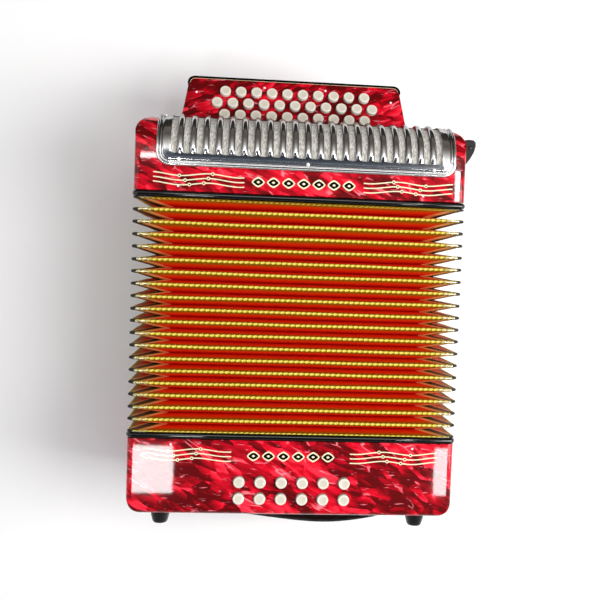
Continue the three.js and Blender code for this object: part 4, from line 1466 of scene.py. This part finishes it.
def studio_world():
    """A dim room: pale low down, dark blue-grey overhead and beyond the treble end, with a bright
    strip leaning over the treble end that fades out to both sides."""
    world = bpy.data.worlds.new("studio")
    world.use_nodes = True
    n = Graph(world.node_tree)
    x, y, z = n.split(n.add("ShaderNodeTexCoord").outputs["Generated"])
    height = n.ramp(z, [
        (0.0, (0.50, 0.49, 0.48)), (0.45, (0.30, 0.31, 0.33)), (0.80, (0.07, 0.085, 0.115)),
        (1.0, (0.05, 0.07, 0.10)),
    ])
    side = n.ramp(y, [(0.10, (1, 1, 1)), (0.45, (0.42, 0.36, 0.30))])
    strip = n.ramp(n.math("ARCTAN2", y, z), [
        (0.14, (0, 0, 0)), (0.26, (1.4, 1.38, 1.35)), (0.46, (0.85, 0.83, 0.80)),
        (0.75, (0.24, 0.22, 0.20)), (1.0, (0, 0, 0)),
    ])
    fade = n.ramp(n.times(x, x), [(0.30, (1, 1, 1)), (0.80, (0, 0, 0))])
    walls = n.mix(1.0, height, side, "MULTIPLY")
    total = n.mix(1.0, walls, n.mix(1.0, strip, fade, "MULTIPLY"), "ADD")
    n.feed(n.tree.nodes["Background"], Color=total, Strength=1.0)
    bpy.context.scene.world = world


studio_world()


def soft_light(name, place, target, size, radiance, tint=(1, 1, 1)):
    """A rectangular light of the given radiance, turned to its target."""
    light = bpy.data.lights.new(name, "AREA")
    light.shape = "RECTANGLE"
    light.size, light.size_y = size
    light.energy = radiance * math.pi * size[0] * size[1]
    light.color = tint
    obj = bpy.data.objects.new(name, light)
    obj.location = place
    if target is not None:
        obj.rotation_euler = (Vector(target) - Vector(place)).to_track_quat("-Z", "Y").to_euler()
    bpy.context.collection.objects.link(obj)
    return obj


ABOVE = 1.6
WINDOW_HEIGHT = 1.59
SUBJECT = (0, 0, 0.1)
soft_light("key_softbox", (1.15, -0.10, 1.25), SUBJECT, (0.8, 1.3), 10.5, (1.0, 0.985, 0.96))
soft_light("overhead_softbox", (0.10, 0.53, ABOVE), None, (1.0, 0.44), 3.3)
soft_light("left_softbox", (-1.30, 0.0, 0.95), SUBJECT, (1.0, 1.4), 1.0, (0.97, 0.985, 1.0))
# Four windows are reflected near the corners of the casings' polished fronts.
for name, x, y, size, radiance in (
        ("bass_left_window", -0.285, -0.537, (0.120, 0.137), 42),
        ("treble_left_window", -0.292, 0.312, (0.110, 0.012), 60),
        ("bass_right_window", 0.528, -0.530, (0.055, 0.137), 40),
        ("treble_right_window", 0.541, 0.270, (0.030, 0.085), 70)):
    soft_light(name, (x, y, WINDOW_HEIGHT), None, size, radiance)

# A dark card beyond the treble end, which only reflections see.
card_corners = [(-0.7, 0.46, 0), (0.7, 0.46, 0), (0.7, 0.50, 0.22), (-0.7, 0.50, 0.22)]
card = mesh_object("dark_card", card_corners, [(0, 1, 2, 3)])
paint(card, CARD_CLOTH)
card.visible_camera = False
card.visible_diffuse = False
card.visible_shadow = False

camera = bpy.data.cameras.new("camera")
camera.sensor_width = 36
camera.lens = 47.1
camera_object = bpy.data.objects.new("camera", camera)
camera_object.location = (-0.0537, 0.0408, 0.9174)
camera_object.rotation_euler = Euler([math.radians(v) for v in (-2.847, -4.213, 2.085)], "XYZ")
bpy.context.collection.objects.link(camera_object)
bpy.context.scene.camera = camera_object
bpy.context.scene.view_settings.view_transform = "Standard"
